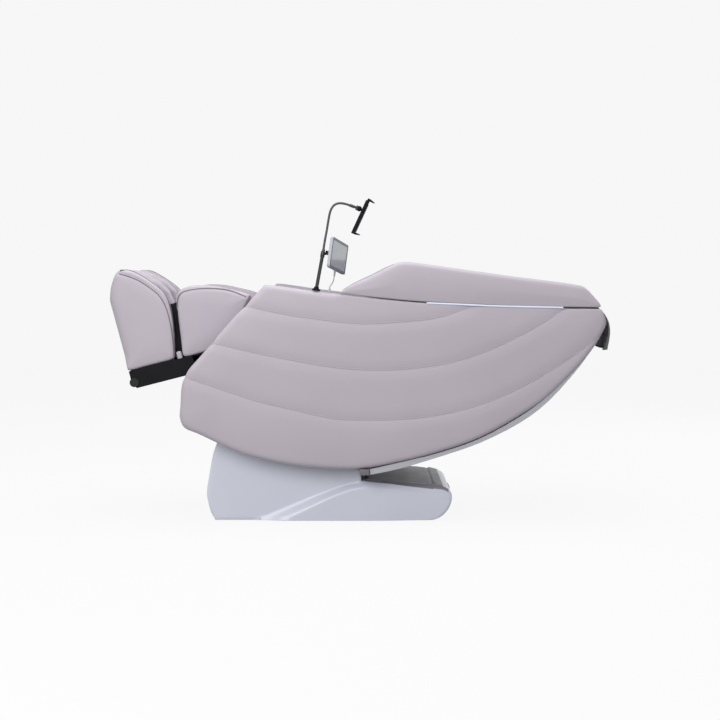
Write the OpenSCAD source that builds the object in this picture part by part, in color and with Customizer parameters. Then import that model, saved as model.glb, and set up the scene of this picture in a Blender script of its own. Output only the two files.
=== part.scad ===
// Reclining massage chair on a fixed base.
// X runs from the feet (-) to the head (+), Y across the seat, Z up from the floor.
// The sitter's left side is -Y.  The chair is drawn fully reclined, with the legs raised.

/* [Overall] */
// Width over the two padded side panels
overall_w = 780; // [770:1:800]
// Thickness of a side panel with its padding
panel_t = 50; // [44:1:52]
// Radius of the padding's rounded rim
panel_rim = 20; // [12:1:24]
// How far the padding swells in the middle of a panel
panel_crown = 5; // [2:1:8]

/* [Seat and back] */
// Slope of the seat above level, reclined
seat_slope = 41; // [40:0.5:42]
// Slope of the back above level, reclined
back_slope = 20; // [19:0.5:21]
// Length of the seat surface
seat_len = 516; // [505:1:518]
// Length of the back surface
back_len = 930; // [900:5:940]
// Width of the seat cushion
seat_w = 448; // [430:2:452]
// Thickness of the seat and back cushions
cushion_t = 84; // [70:1:86]
// Thickness of the head pillow
pillow_t = 62; // [50:1:70]

/* [Recline] */
// Height of the recline shaft above the floor
tilt_z = 348; // [346:1:350]
// Radius of the recline shaft
tilt_shaft_r = 12; // [10:0.5:13]

/* [Leg rest] */
// Slope of the leg rest below level, raised
leg_slope = 14.4; // [14:0.1:15]
// Width over the calf and foot panels
leg_w = 540; // [530:2:550]
// Thickness of a calf or foot panel
leg_panel_t = 42; // [36:1:43]
// Radius of the leg rest's hinge shaft
leg_shaft_r = 9; // [8:0.5:10]
// Radius of an extension rail
rail_r = 10; // [8:0.5:11]
// Radius of a calf trough
trough_r = 62; // [55:1:64]

/* [Base] */
// Width over the base's side shells
base_w = 570; // [560:2:580]
// Wall of the moulded base covers
cover_t = 4; // [3:0.5:5]

/* [Controller and phone holder] */
// Length of the tablet case
tablet_w = 190; // [180:1:192]
// Height of the tablet case
tablet_h = 112; // [106:1:116]
// Thickness of the tablet case
tablet_t = 11; // [9:0.5:12]
// Diameter of the controller's cable
cable_d = 3.6; // [3:0.1:3.8]
// Length of the phone clamp's bar
clamp_len = 131; // [125:1:135]

/* [Hidden] */
$fn = 48;
left = -1;
right = 1;
fit = 0.05;
gap = 0.6;

leather = [0.73, 0.69, 0.73];
leather_dark = [0.35, 0.34, 0.35];
shell_white = [0.86, 0.88, 0.92];
trim_grey = [0.62, 0.62, 0.64];
tray_black = [0.12, 0.12, 0.15];
steel = [0.55, 0.57, 0.60];
dark_steel = [0.25, 0.26, 0.28];
glow = [0.80, 0.87, 0.97];

// ---- Reference points, as [x, z] in the side view ----
hip = [-50, 405];
tilt_pivot = [-218, tilt_z];
leg_pivot = [-560, 612];
panel_in = overall_w / 2 - panel_t;
leg_in = leg_w / 2 - leg_panel_t;
base_y = base_w / 2;

// ---- Outlines in the side view, front to rear ----
side_low = [[-661, 405], [-644, 364], [-585, 337], [-438, 270], [-291, 233], [-144, 214],
            [3, 211], [150, 237], [297, 274], [444, 326], [590, 407], [697, 487],
            [808, 602], [878, 698], [898, 752]];
side_high = [[-657, 448], [-643, 550], [-571, 639], [-464, 763], [-387, 844], [-352, 880],
             [-330, 888], [-172, 866], [-63, 853], [76, 836], [240, 822], [368, 815],
             [514, 808], [744, 803], [878, 800]];
wing_low = [[-72, 858], [-36, 854], [3, 849], [76, 841], [192, 830], [294, 824],
            [440, 817], [590, 811], [744, 808], [872, 806]];
wing_high = [[-70, 862], [-18, 893], [54, 927], [126, 962], [172, 970], [294, 953],
             [557, 916], [776, 887], [838, 860], [874, 812]];
trim_low = [[40, 190], [150, 213], [297, 257], [444, 308], [590, 382], [697, 464],
            [808, 590], [850, 655]];
trim_high = [[40, 210], [150, 235], [297, 272], [444, 324], [590, 405], [697, 485],
             [805, 596], [846, 649]];
head_shell = [[846, 640], [884, 706], [894, 752], [882, 792], [872, 790], [880, 752],
              [870, 710], [834, 646]];
base_front = [[-532, 302], [-548, 250], [-560, 174], [-570, 110], [-566, 74], [-557, 34],
              [-541, 6]];
base_rear = [[276, 6], [308, 17], [334, 43], [348, 78], [350, 97], [341, 113], [322, 124]];
base_top = [[300, 128], [153, 139], [7, 151], [7, 200], [-100, 236], [-150, 262],
            [-205, 296], [-230, 302]];
ridge_up = [[-378, 16], [-300, 44], [-222, 77], [-147, 106], [-72, 130], [7, 142]];
ridge_down = [[-292, 8], [-240, 28], [-185, 57], [-110, 91], [-35, 117], [22, 127]];
hump = [[26, 100], [28, 150], [79, 147], [148, 143], [194, 140], [244, 136], [284, 128],
        [306, 104]];

// Points in the leg rest's own side view: along the leg from its hinge, and up from it.
foot_low = [[126, 34], [146, 31], [170, 31], [196, 31], [224, 31], [252, 31], [284, 31],
            [306, 40]];
foot_high = [[108, 112], [96, 196], [101, 270], [134, 324], [196, 386], [250, 403], [290, 356],
             [310, 304]];
calf_low = [[-200, 182], [-122, 96], [-58, 50], [-12, 32], [36, 29], [82, 29], [96, 39]];
calf_high = [[-206, 192], [-158, 222], [-94, 253], [-36, 270], [12, 276], [50, 267],
             [69, 236]];

// ---- Curves ----
function blend4(a, b, c, d, t) = 0.5 * (2 * b + (c - a) * t
    + (2 * a - 5 * b + 4 * c - d) * t * t + (3 * b - a - 3 * c + d) * t * t * t);
// A smooth curve through the points, with n steps between each two
function spline(p, n) = [
    for (i = [0 : len(p) - 2], k = [0 : n - 1])
        blend4(p[max(i - 1, 0)], p[i], p[i + 1], p[min(i + 2, len(p) - 1)], k / n),
    p[len(p) - 1]
];
function turned(p) = [for (i = [len(p) - 1 : -1 : 0]) p[i]];
function loop_of(low, high) = concat(low, turned(high));
function outward(p, i) = let (n = len(p), d = p[(i + 1) % n] - p[(i + n - 1) % n])
    [d.y, -d.x] / norm(d);
// Half the distance across a panel at a point keeps the rim clear of itself near the tips
function room(p, i) = 0.42 * norm(p[i] - p[len(p) - 1 - i]);
function inset(p, r) = [for (i = [0 : len(p) - 1]) p[i] - min(r, room(p, i)) * outward(p, i)];

// ---- Frames of reference ----
module on_seat() translate([hip.x, 0, hip.y]) rotate([0, -seat_slope, 180]) children();
module on_back() translate([hip.x, 0, hip.y]) rotate([0, -back_slope, 0]) children();
module on_leg() translate([leg_pivot.x, 0, leg_pivot.y]) rotate([0, leg_slope, 180]) children();
// A flat side view, drawn from y0 to y1
module slab(y0, y1) translate([0, y1, 0]) rotate([90, 0, 0]) linear_extrude(y1 - y0) children();
module on_side(side) mirror([0, side < 0 ? 1 : 0, 0]) children();
module both_sides() {
    children();
    mirror([0, 1, 0]) children();
}
// A bar along Y
module bar_y(p, r, y0, y1) translate([p.x, y0, p.y]) rotate([-90, 0, 0])
    cylinder(r = r, h = y1 - y0);
module block(p0, p1) translate(p0) cube(p1 - p0);
module link(p, q, r) hull() {
    translate(p) circle(r, $fn = 32);
    translate(q) circle(r, $fn = 32);
}

// ---- Padding ----
// A padded panel over an outline: flat inside at y_in, with a rounded rim and a crown outside
module padded_panel(low, high, y_in, y_out, rim, crown) {
    outline = loop_of(low, high);
    n = len(outline);
    rings = concat([[0, y_in], [0, y_out - rim - crown]],
        [for (a = [30, 60, 85]) [rim * (1 - cos(a)), y_out - crown - rim + rim * sin(a)]],
        [[rim * 1.9, y_out]]);
    last = len(rings) - 1;
    points = [for (g = rings, q = inset(outline, g[0])) [q.x, g[1], q.y]];
    walls = [for (j = [0 : last - 1], i = [0 : n - 1])
        let (a = j * n + i, b = j * n + (i + 1) % n) each [[a, b, b + n], [a, b + n, a + n]]];
    caps = [for (i = [0 : n / 2 - 2]) let (a = i, b = i + 1, c = n - 2 - i, d = n - 1 - i, t = last * n)
        each [[a, c, b], [a, d, c], [a + t, b + t, c + t], [a + t, c + t, d + t]]];
    polyhedron(points, concat(walls, caps), convexity = 6);
}

// A cushion lying on z = 0, centred on the origin: crowned top, drawn-in sides, sewn channels
function crown_of(u, p) = 1 - pow(abs(u), p);
function channel(u, lines, depth) = len(lines) == 0 ? 0
    : depth * max([for (c = lines) exp(-pow((u - c) / 0.035, 2))]);
module cushion(size, crown, lines, depth, steps) {
    nx = steps.x;
    ny = steps.y;
    function spread(i, n) = sin(90 * (2 * i / n - 1));
    function edge(u) = 1 - 0.025 * (1 - u * u);
    function level(u, v) = (size.z - crown) * (0.5 + 0.5 * pow(crown_of(u, 8) * crown_of(v, 8), 0.35))
        + crown * crown_of(u, 2.4) * crown_of(v, 2.4) - channel(u, lines, depth) * crown_of(v, 6);
    function at(i, j, z) = let (u = spread(i, nx), v = spread(j, ny))
        [size.x / 2 * u * edge(v), size.y / 2 * v * edge(u), z];
    top = [for (i = [0 : nx], j = [0 : ny]) at(i, j, level(spread(i, nx), spread(j, ny)))];
    base = [for (i = [0 : nx], j = [0 : ny]) at(i, j, 0)];
    m = ny + 1;
    half = len(top);
    grid = [for (i = [0 : nx - 1], j = [0 : ny - 1]) let (a = i * m + j, b = a + m)
        each [[a, a + 1, b + 1], [a, b + 1, b],
              [a + half, b + 1 + half, a + 1 + half], [a + half, b + half, b + 1 + half]]];
    sides_x = [for (i = [0 : nx - 1]) let (a = i * m, b = a + m, c = a + ny, d = b + ny)
        each [[a, b, b + half], [a, b + half, a + half], [c, d + half, d], [c, c + half, d + half]]];
    sides_y = [for (j = [0 : ny - 1]) let (a = j, b = j + 1, c = nx * m + j, d = c + 1)
        each [[a, b + half, b], [a, a + half, b + half], [c, d, d + half], [c, d + half, c + half]]];
    polyhedron(concat(top, base), concat(grid, sides_x, sides_y), convexity = 4);
}

// A tube of constant radius swept along points in space
function unit(v) = v / norm(v);
function tube_side(t) = unit(cross(t, abs(t.z) > 0.9 ? [0, 1, 0] : [0, 0, 1]));
module tube(path, r, sides) {
    n = len(path);
    tangent = [for (i = [0 : n - 1]) unit(path[min(i + 1, n - 1)] - path[max(i - 1, 0)])];
    ref = unit(cross(tangent[0], [0.31, 0.92, 0.24]));
    points = [for (i = [0 : n - 1], k = [0 : sides - 1])
        let (t = tangent[i], e = unit(ref - (ref * t) * t), f = cross(t, e), a = 360 * k / sides)
        path[i] + r * (cos(a) * e + sin(a) * f)];
    walls = [for (i = [0 : n - 2], k = [0 : sides - 1])
        let (a = i * sides + k, b = i * sides + (k + 1) % sides)
        each [[a, a + sides, b + sides], [a, b + sides, b]]];
    ends = [for (k = [1 : sides - 2])
        each [[0, k, k + 1], let (z = (n - 1) * sides) [z, z + k + 1, z + k]]];
    polyhedron(points, concat(walls, ends), convexity = 6);
}

// ================= Base =================
frame_tube_low = 12;
frame_tube_high = 52;
rail_y = [172, 202];
actuator_foot = [-320, 80];
wheel_axis = [310, 36];
module base_frame() color(dark_steel) {
    difference() {
        union() {
            both_sides() block([-520, rail_y[0], frame_tube_low], [284, rail_y[1], frame_tube_high]);
            for (x = [-500, -340, 100, 236])
                block([x, -rail_y[0] - 1, frame_tube_low], [x + 36, rail_y[0] + 1, frame_tube_high]);
            block([-238, -254, frame_tube_low], [-198, 254, frame_tube_high]);
            both_sides() slab(246, 254) {
                polygon([[-252, frame_tube_high - 1], [-184, frame_tube_high - 1],
                         tilt_pivot + [22, 0], tilt_pivot - [22, 0]]);
                translate(tilt_pivot) circle(26);
            }
            both_sides() slab(18, 25) hull() {
                translate(actuator_foot) circle(14, $fn = 32);
                polygon([[-338, frame_tube_high - 1], [-306, frame_tube_high - 1], [-320, 60]]);
            }
            both_sides() slab(rail_y[0], rail_y[0] + 6)
                polygon([[283, 18], [324, 22], [324, 50], [283, 51]]);
        }
        bar_y(tilt_pivot, tilt_shaft_r + fit, -300, 300);
        bar_y(actuator_foot, 6, -40, 40);
        bar_y(wheel_axis, 6 + fit, -200, 200);
    }
}

module tilt_shaft() color(steel) {
    bar_y(tilt_pivot, tilt_shaft_r, -262, 262);
    bar_y(actuator_foot, 6 - fit, -29, 29);
}

foot_x = [-478, 236];
module base_feet() color(tray_black) for (x = foot_x)
    both_sides() translate([x, 187, 0]) cylinder(r1 = 26, r2 = 28, h = frame_tube_low, $fn = 48);

base_outline = concat(spline(base_front, 4), base_rear, base_top);
module base_shell(side) color(shell_white) on_side(side) difference() {
    union() {
        slab(base_y - 52, base_y - 6) polygon(turned(base_outline));
        slab(base_y - 7, base_y) polygon(loop_of(spline(ridge_down, 3), spline(ridge_up, 3)));
    }
    slab(base_y - 53, base_y - 6 - cover_t) offset(delta = -cover_t) polygon(turned(base_outline));
    block([-528, base_y - 53, 0], [270, base_y - 6 - cover_t, 14]);
    block([-262, 240, 280], [-174, 260, 310]);
}

function thick_strip(p, t) = loop_of(p, [for (q = p) q + [t, 0]]);
module base_front_cover() color(shell_white) slab(-base_y + 52 + gap, base_y - 52 - gap)
    polygon(thick_strip(turned(spline(base_front, 4)), cover_t));

inlet_y = [-84, 14];
module base_rear_cover() color(shell_white) difference() {
    slab(-base_y + 52 + gap, base_y - 52 - gap) polygon(thick_strip(spline(base_rear, 3), -cover_t));
    both_sides() block([270, 128, 0], [360, 184, 76]);
    block([300, inlet_y[0], 60], [360, inlet_y[1], 100]);
}

rear_lip = [[317, 127], [286, 135], [280, 130], [282, 122], [314, 121]];
module rear_housing() color(leather_dark) difference() {
    slab(-228, 228) {
        polygon(spline(hump, 4));
        polygon(rear_lip);
    }
    slab(-225, 225) translate([0, -1]) offset(delta = -3) polygon(spline(hump, 4));
    block([10, -225, 90], [320, 225, 107]);
}

module power_supply() color(steel) difference() {
    block([64, -168, 56], [224, -58, 126]);
    for (x = [84 : 16 : 204]) block([x, -150, 122], [x + 8, -76, 127]);
}

module control_board() color([0.10, 0.35, 0.20]) {
    block([64, 60, 92], [214, 166, 95]);
    for (x = [76, 120, 164]) block([x, 74, 94], [x + 30, 104, 108]);
    for (y = [116, 140]) translate([90, y, 94]) cylinder(r = 8, h = 22);
}

module air_pump() color([0.30, 0.32, 0.35]) {
    block([-470, 56, 56], [-370, 156, 118]);
    translate([-450, 106, 117]) cylinder(r = 7, h = 16);
    translate([-390, 106, 117]) cylinder(r = 7, h = 16);
    for (x = [-462, -386]) block([x, 64, 51], [x + 10, 148, 57]);
}

switch_y = -8;
inlet_x = 352;
module power_inlet() color(tray_black) difference() {
    union() {
        block([inlet_x - 4, inlet_y[0], 60], [inlet_x, inlet_y[1], 100]);
        block([inlet_x - 30, -76, 67], [inlet_x - 3, -40, 93]);
        block([inlet_x - 24, switch_y - 12, 67], [inlet_x - 3, switch_y + 12, 93]);
    }
    block([inlet_x - 22, -70, 71], [inlet_x + 1, -46, 89]);
    block([inlet_x - 20, switch_y - 9, 70], [inlet_x + 1, switch_y + 9, 90]);
}

module power_switch() color([0.08, 0.08, 0.09]) slab(switch_y - 8, switch_y + 8)
    polygon([[inlet_x - 15, 80], [inlet_x - 3, 73.5], [inlet_x + 3, 74.5], [inlet_x - 1, 80],
             [inlet_x - 1, 86.5], [inlet_x - 4, 86.5]]);

module transport_wheels() color(tray_black) {
    bar_y(wheel_axis, 6, -180, 180);
    both_sides() difference() {
        translate([wheel_axis.x, 136, wheel_axis.y]) rotate([-90, 0, 0])
            rotate_extrude() polygon([[5, 4], [22, 4], [22, 0], [27, 0], [30, 3], [30, 23],
                                      [27, 26], [22, 26], [22, 22], [5, 22]]);
        bar_y(wheel_axis, 5.9, 130, 170);
    }
}

// ---- Recline actuator: a motor and screw tube between the base and the tub ----
tub_clevis = [60, 262];
lift_dir = unit(tub_clevis - actuator_foot);
lift_len = norm(tub_clevis - actuator_foot);
lift_angle = atan2(lift_dir.y, lift_dir.x);
module along_lift() translate([actuator_foot.x, 0, actuator_foot.y]) rotate([0, -lift_angle, 0])
    children();
module bar_x(r, x0, x1) translate([x0, 0, 0]) rotate([0, 90, 0]) cylinder(r = r, h = x1 - x0);
module tilt_actuator_body() color([0.20, 0.21, 0.23]) along_lift() difference() {
    union() {
        bar_y([0, 0], 13, -16, 16);
        block([6, -16, -13], [40, 16, 13]);
        bar_x(24, 36, 110);
        bar_x(19, 109, 292);
        translate([74, 0, -20]) rotate([180, 0, 0]) cylinder(r = 20, h = 18);
    }
    bar_y([0, 0], 6, -20, 20);
    bar_x(12 + 0.4, 120, 300);
}
module tilt_actuator_rod() color(steel) along_lift() {
    bar_x(12, 150, lift_len - 12);
    bar_y([lift_len, 0], 14, -9, 9);
    bar_y([lift_len, 0], 6, -24, 24);
}

// ================= Tub =================
rail_d = [-145, -96];
frame_y = [200, 230];
function seat_point(s, d) = hip + s * [-cos(seat_slope), sin(seat_slope)]
    + d * [sin(seat_slope), cos(seat_slope)];
function back_point(s, d) = hip + s * [cos(back_slope), sin(back_slope)]
    + d * [-sin(back_slope), cos(back_slope)];
frame_low = [seat_point(468, rail_d[0]), seat_point(60, rail_d[0]), seat_point(14, -148),
             back_point(14, -148), back_point(60, rail_d[0]), back_point(760, rail_d[0])];
frame_high = [seat_point(468, rail_d[1]), seat_point(60, rail_d[1]), seat_point(14, -104),
              back_point(14, -104), back_point(60, rail_d[1]), back_point(760, rail_d[1])];
hanger_y = [32, 39];
push_pivot = [-337, 456];
module seat_frame() color(dark_steel) difference() {
    union() {
        both_sides() slab(frame_y[0], frame_y[1]) polygon(loop_of(frame_low, frame_high));
        for (s = [40, 420]) on_seat() block([s, -201, -140], [s + 30, 201, -112]);
        for (s = [130, 728]) on_back() block([s, -201, -142], [s + 30, 201, -130]);
        // Ears on the recline shaft
        both_sides() slab(frame_y[1] - 1, 238) {
            link(tilt_pivot, seat_point(90, -120), 25);
            link(tilt_pivot, seat_point(150, -120), 22);
        }
        // Lugs on the leg rest's hinge shaft
        both_sides() slab(frame_y[0] + 10, frame_y[0] + 20) link(leg_pivot, seat_point(440, -120), 20);
        // Hanger for the recline actuator
        both_sides() slab(hanger_y[0], hanger_y[1]) difference() {
            link(tub_clevis, back_point(140, -136), 22);
            translate(tub_clevis) circle(14);
        }
        // Lugs for the leg rest's actuator
        both_sides() slab(20, 27) link(push_pivot, seat_point(236, -120), 14);
        on_seat() block([222, -201, -128], [250, 201, -108]);
    }
    bar_y(tilt_pivot, tilt_shaft_r + fit, -300, 300);
    bar_y(leg_pivot, leg_shaft_r + fit, -300, 300);
    bar_y(push_pivot, 6 + fit, -40, 40);
}

track_y = [184, 199.5];
module track_rails() color(steel) both_sides() on_back() {
    block([70, track_y[0], -128], [770, track_y[1], -125]);
    block([70, track_y[0], -104], [770, track_y[1], -101]);
    block([70, track_y[1] - 3, -128], [770, track_y[1], -101]);
}

module side_panel(side) color(leather) on_side(side)
    padded_panel(spline(side_low, 3), spline(side_high, 3), panel_in, overall_w / 2,
                 panel_rim, panel_crown);

module wing(side) color(leather) on_side(side)
    padded_panel(spline(wing_low, 3), spline(wing_high, 3), panel_in - 6, overall_w / 2 - 2,
                 18, 4);

split_line = [[246, 822.6], [368, 817.4], [514, 810.8], [744, 805.6]];
module light_strips() color(glow) both_sides() slab(panel_in + 4, overall_w / 2 - 9)
    polygon(loop_of([for (p = split_line) p - [0, 1]], [for (p = split_line) p + [0, 1]]));

module back_cover() color(trim_grey) {
    slab(-overall_w / 2 + 16, overall_w / 2 - 16)
        polygon(loop_of(spline(trim_low, 3), spline(trim_high, 3)));
    slab(-panel_in + 1, panel_in - 1) polygon(spline(head_shell, 3));
}

module seat_cushion() color(leather) on_seat()
    translate([seat_len / 2 + 2, 0, -cushion_t])
    cushion([seat_len - 12, seat_w, cushion_t], 22, [-0.35, 0.35], 8, [16, 12]);

module back_cushion() color(leather) on_back()
    translate([back_len / 2 - 10, 0, -cushion_t])
    cushion([back_len - 44, 2 * panel_in - 24, cushion_t], 20, [-0.5, 0, 0.5], 8, [20, 12]);

module head_pillow() color(leather) on_back()
    translate([back_len - 130, 0, 1]) cushion([250, 360, pillow_t], 24, [], 0, [12, 12]);

flap_line = [[846, 828], [880, 806], [906, 786], [925, 752], [931, 715], [926, 680], [920, 648]];
module head_flap() color(leather_dark) slab(-300, 300)
    let (outer = spline(flap_line, 3)) polygon(loop_of(inset_open(outer, 6), outer));
function inset_open(p, r) = [for (i = [0 : len(p) - 1])
    let (d = p[min(i + 1, len(p) - 1)] - p[max(i - 1, 0)]) p[i] + r * [d.y, -d.x] / norm(d)];

arm_floor = [[-352, 786], [60, 742], [60, 728], [-352, 772]];
arm_wall = [[-352, 868], [62, 828], [62, 470], [-20, 440], [-352, 728]];
module arm_well(side) color(leather_dark) on_side(side) {
    slab(seat_w / 2 + 3, seat_w / 2 + 15) polygon(turned(arm_wall));
    slab(seat_w / 2 + 14, panel_in - 1) polygon(turned(arm_floor));
    slab(seat_w / 2 + 14, panel_in - 1) polygon([[50, 729], [62, 728], [62, 828], [50, 829]]);
}

module shoulder_pads() color(leather) both_sides() translate([492, panel_in - 8, 700]) rotate([90, 0, 0])
    rotate([0, 0, 20]) cushion([250, 190, 52], 22, [], 0, [10, 10]);

// ---- Massage carriage, inside the back ----
carriage_s = 430;
head_d = -117;
module massage_carriage() color(steel) on_back() translate([carriage_s, 0, 0]) {
    difference() {
        block([-80, -170, -142], [80, 170, -123]);
        both_sides() block([-36, 54, -150], [36, 128, -110]);
    }
    for (x = [-60, 60]) {
        translate([x, 0, -114.5]) rotate([-90, 0, 0]) translate([0, 0, -174]) cylinder(r = 5, h = 348);
        both_sides() bar_y([x, -114.5], 9.6, 173, 182 + 12);
        both_sides() block([x - 8, 150, -124], [x + 8, 160, -106]);
    }
    both_sides() for (y = [46, 132]) block([-12, y, -124], [12, y + 6, -106]);
    bar_y([0, head_d], 5, -140, 140);
    block([-30, -34, -124], [34, 34, -92]);
}
module kneading_wheel(side) color([0.85, 0.80, 0.66]) on_back() translate([carriage_s, 0, head_d]) {
    on_side(side) difference() {
        union() {
            translate([0, 56, 0]) rotate([-90, 0, 0]) cylinder(r = 14, h = 72);
            for (y = [72, 112]) translate([6, y, 0]) rotate([-90, 0, 0]) rotate_extrude()
                translate([14, 0]) circle(8, $fn = 24);
            for (y = [66, 106]) translate([6, y, 0]) rotate([-90, 0, 0]) cylinder(r = 16, h = 12);
        }
        bar_y([0, 0], 5 + fit, 40, 140);
    }
}

// ================= Leg rest =================
module leg_shaft() color(steel) {
    bar_y(leg_pivot, leg_shaft_r, -236, 236);
    bar_y(push_pivot, 6, -30, 30);
}

rails_y = 186;
rail_up = 34;
hinge_half = 196;
rod_eye = [40, -25];
module calf_frame() color(dark_steel) on_leg() difference() {
    union() {
        bar_y([0, 0], 15, -hinge_half, hinge_half);
        both_sides() {
            translate([0, rails_y, rail_up]) bar_x(rail_r + 5, 2, 90);
            slab(rails_y - 8, rails_y + 8) polygon([[-10, 0], [10, -8], [60, 22], [60, 30], [10, 30]]);
        }
        block([50, -rails_y, 24], [66, rails_y, 32]);
        both_sides() slab(14, 20) {
            link(rod_eye, [12, 0], 11);
            polygon([rod_eye + [-5, 8], rod_eye + [10, 3], [64, 25], [52, 31]]);
        }
    }
    bar_y([0, 0], leg_shaft_r + fit, -300, 300);
    both_sides() translate([0, rails_y, rail_up]) bar_x(rail_r + fit, -30, 100);
    both_sides() slab(13, 21) translate(rod_eye) circle(8);
}

module calf_panel(side) color(leather) on_leg() on_side(-side)
    padded_panel(spline(calf_low, 4), spline(calf_high, 4), leg_in, leg_w / 2, 16, 4);

trough_y = 100;
trough_up = 162;
calf_side = [[90, 50], [64, 230], [40, 244], [-40, 246], [-100, 230], [-164, 198], [-168, 190],
             [-40, 50]];
module calf_wells() color(leather) on_leg() difference() {
    slab(-leg_in + 1, leg_in - 1) polygon(calf_side);
    both_sides() translate([-200, trough_y, trough_up]) rotate([0, 90, 0]) cylinder(r = trough_r, h = 320);
    both_sides() block([-200, trough_y - trough_r, trough_up], [120, trough_y + trough_r, 260]);
}

module calf_cover() color(tray_black) on_leg() difference() {
    block([20, -166, 16], [88, 166, 21]);
    block([10, -24, 10], [70, 24, 30]);
}

module foot_rails() color(steel) on_leg() {
    both_sides() translate([0, rails_y, rail_up]) bar_x(rail_r, -2, 284);
    block([140, -rails_y, 29], [164, rails_y, 39]);
    block([262, -rails_y, 29], [282, rails_y, 39]);
}

module foot_panel(side) color(leather) on_leg() on_side(-side)
    padded_panel(spline(foot_low, 4), spline(foot_high, 4), leg_in, leg_w / 2, 16, 4);

sole_axis = [262, 128];
module foot_wells() color(leather) on_leg() difference() {
    slab(-leg_in + 1, leg_in - 1)
        polygon([[296, 48], [300, 300], [284, 350], [250, 392], [228, 392], [188, 364],
                 [146, 322], [118, 284], [110, 240], [114, 120], [128, 48]]);
    both_sides() hull() {
        translate([100, trough_y - 64, 92]) cube([154, 128, 20]);
        translate([100, trough_y - 64, 360]) cube([154, 128, 60]);
    }
    both_sides() block([100, trough_y - 52, 74], [236, trough_y + 52, 93]);
    // Pocket for the rollers under the soles
    both_sides() block([236, trough_y - 52, sole_axis.y - 30], [292, trough_y + 52, sole_axis.y + 30]);
    bar_y(sole_axis, 6, -200, 200);
}

module sole_roller() color([0.85, 0.80, 0.66]) on_leg() {
    bar_y(sole_axis, 6 - fit, -180, 180);
    both_sides() for (y = [62, 86, 110, 134]) translate([sole_axis.x, y - 7, sole_axis.y])
        rotate([-90, 0, 0]) rotate_extrude()
            polygon([[4, 0], [18, 0], [24, 4], [24, 10], [18, 14], [4, 14]]);
}

tray_half = 262;
tray_end = 60;
roller_axis = [296, -17];
module foot_tray() color(tray_black) on_leg() difference() {
    slab(-tray_half, tray_half)
        polygon([[tray_end, 28], [tray_end, -40], [292, -40], [304, -22], [306, -6], [306, 28]]);
    slab(-tray_half + 6, tray_half - 6)
        polygon([[tray_end - 1, 40], [tray_end - 1, -34], [284, -34], [284, 40]]);
    both_sides() block([270, 150, -60], [320, 256, 6]);
    bar_y(roller_axis, 4, -270, 270);
}

module floor_rollers() color([0.06, 0.06, 0.07]) on_leg() {
    bar_y(roller_axis, 4 - fit, -261, 261);
    both_sides() for (y = [160, 206]) translate([roller_axis.x, y, roller_axis.y])
        rotate([-90, 0, 0]) rotate_extrude()
            polygon([[3, 0], [15, 0], [17, 2], [17, 38], [15, 40], [3, 40]]);
    both_sides() bar_y(roller_axis, 17, 262.5, 268);
    both_sides() bar_y(roller_axis, 3.9, 255, 266);
}

// ---- Leg rest actuator ----
leg_eye = leg_pivot + rod_eye.x * [-cos(leg_slope), -sin(leg_slope)]
    + rod_eye.y * [-sin(leg_slope), cos(leg_slope)];
push_dir = unit(leg_eye - push_pivot);
push_len = norm(leg_eye - push_pivot);
push_angle = atan2(push_dir.y, push_dir.x);
module along_push() translate([push_pivot.x, 0, push_pivot.y]) rotate([0, -push_angle, 0])
    children();
module leg_actuator_body() color([0.20, 0.21, 0.23]) along_push() difference() {
    union() {
        bar_y([0, 0], 12, -18, 18);
        block([6, -16, -12], [34, 16, 12]);
        bar_x(22, 30, 96);
        bar_x(16, 95, 196);
    }
    bar_y([0, 0], 6 + fit, -20, 20);
    bar_x(9 + 0.4, 104, 200);
}
module leg_actuator_rod() color(steel) along_push() {
    bar_x(9, 146, push_len - 8);
    bar_y([push_len, 0], 9, -8, 8);
    bar_y([push_len, 0], 4, -22, 22);
}

// ================= Controller and phone holder =================
stand_y = -362;
stand_foot = [-158, 866];
stand_top = [-131, 1012];
arm_slope = 8;
module stand_flange() color(tray_black) translate([stand_foot.x, stand_y, stand_foot.y])
    rotate([0, arm_slope, 0]) {
        cylinder(r = 15, h = 8);
        translate([0, 0, 7]) cylinder(r = 9, h = 8);
        for (a = [45 : 90 : 315]) rotate([0, 0, a]) translate([11.5, 0, 7.5]) cylinder(r = 2, h = 2);
    }

pole_dir = unit(stand_top - stand_foot);
pole_angle = atan2(pole_dir.x, pole_dir.y);
pole_len = norm(stand_top - stand_foot);
module stand_pole() color(tray_black) {
    translate([stand_foot.x, stand_y, stand_foot.y]) rotate([0, pole_angle, 0]) {
        translate([0, 0, 15]) cylinder(r = 6.4, h = pole_len - 17);
        translate([0, 0, pole_len - 24]) cylinder(r = 8, h = 22);
    }
    tablet_fork();
}

// A fork on the collar carries the tablet on a pin
fork_at = [-18, -45, 0];
module tablet_fork() {
    hull() {
        translate([stand_top.x - 3, stand_y, stand_top.y - 16]) cylinder(r = 5, h = 7, $fn = 32);
        on_tablet() block([-32, -50, -4], [-28, -40, 4]);
    }
    on_tablet() {
        block([-32, -66, -6.5], [-28, -24, 6.5]);
        for (y = [-66, -28]) {
            block([-32, y, -6.5], [fork_at.x, y + 4, 6.5]);
            bar_y([fork_at.x, 0], 6.5, y, y + 4);
        }
        bar_y([fork_at.x, 0], 3, -67, -23);
    }
}

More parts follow.
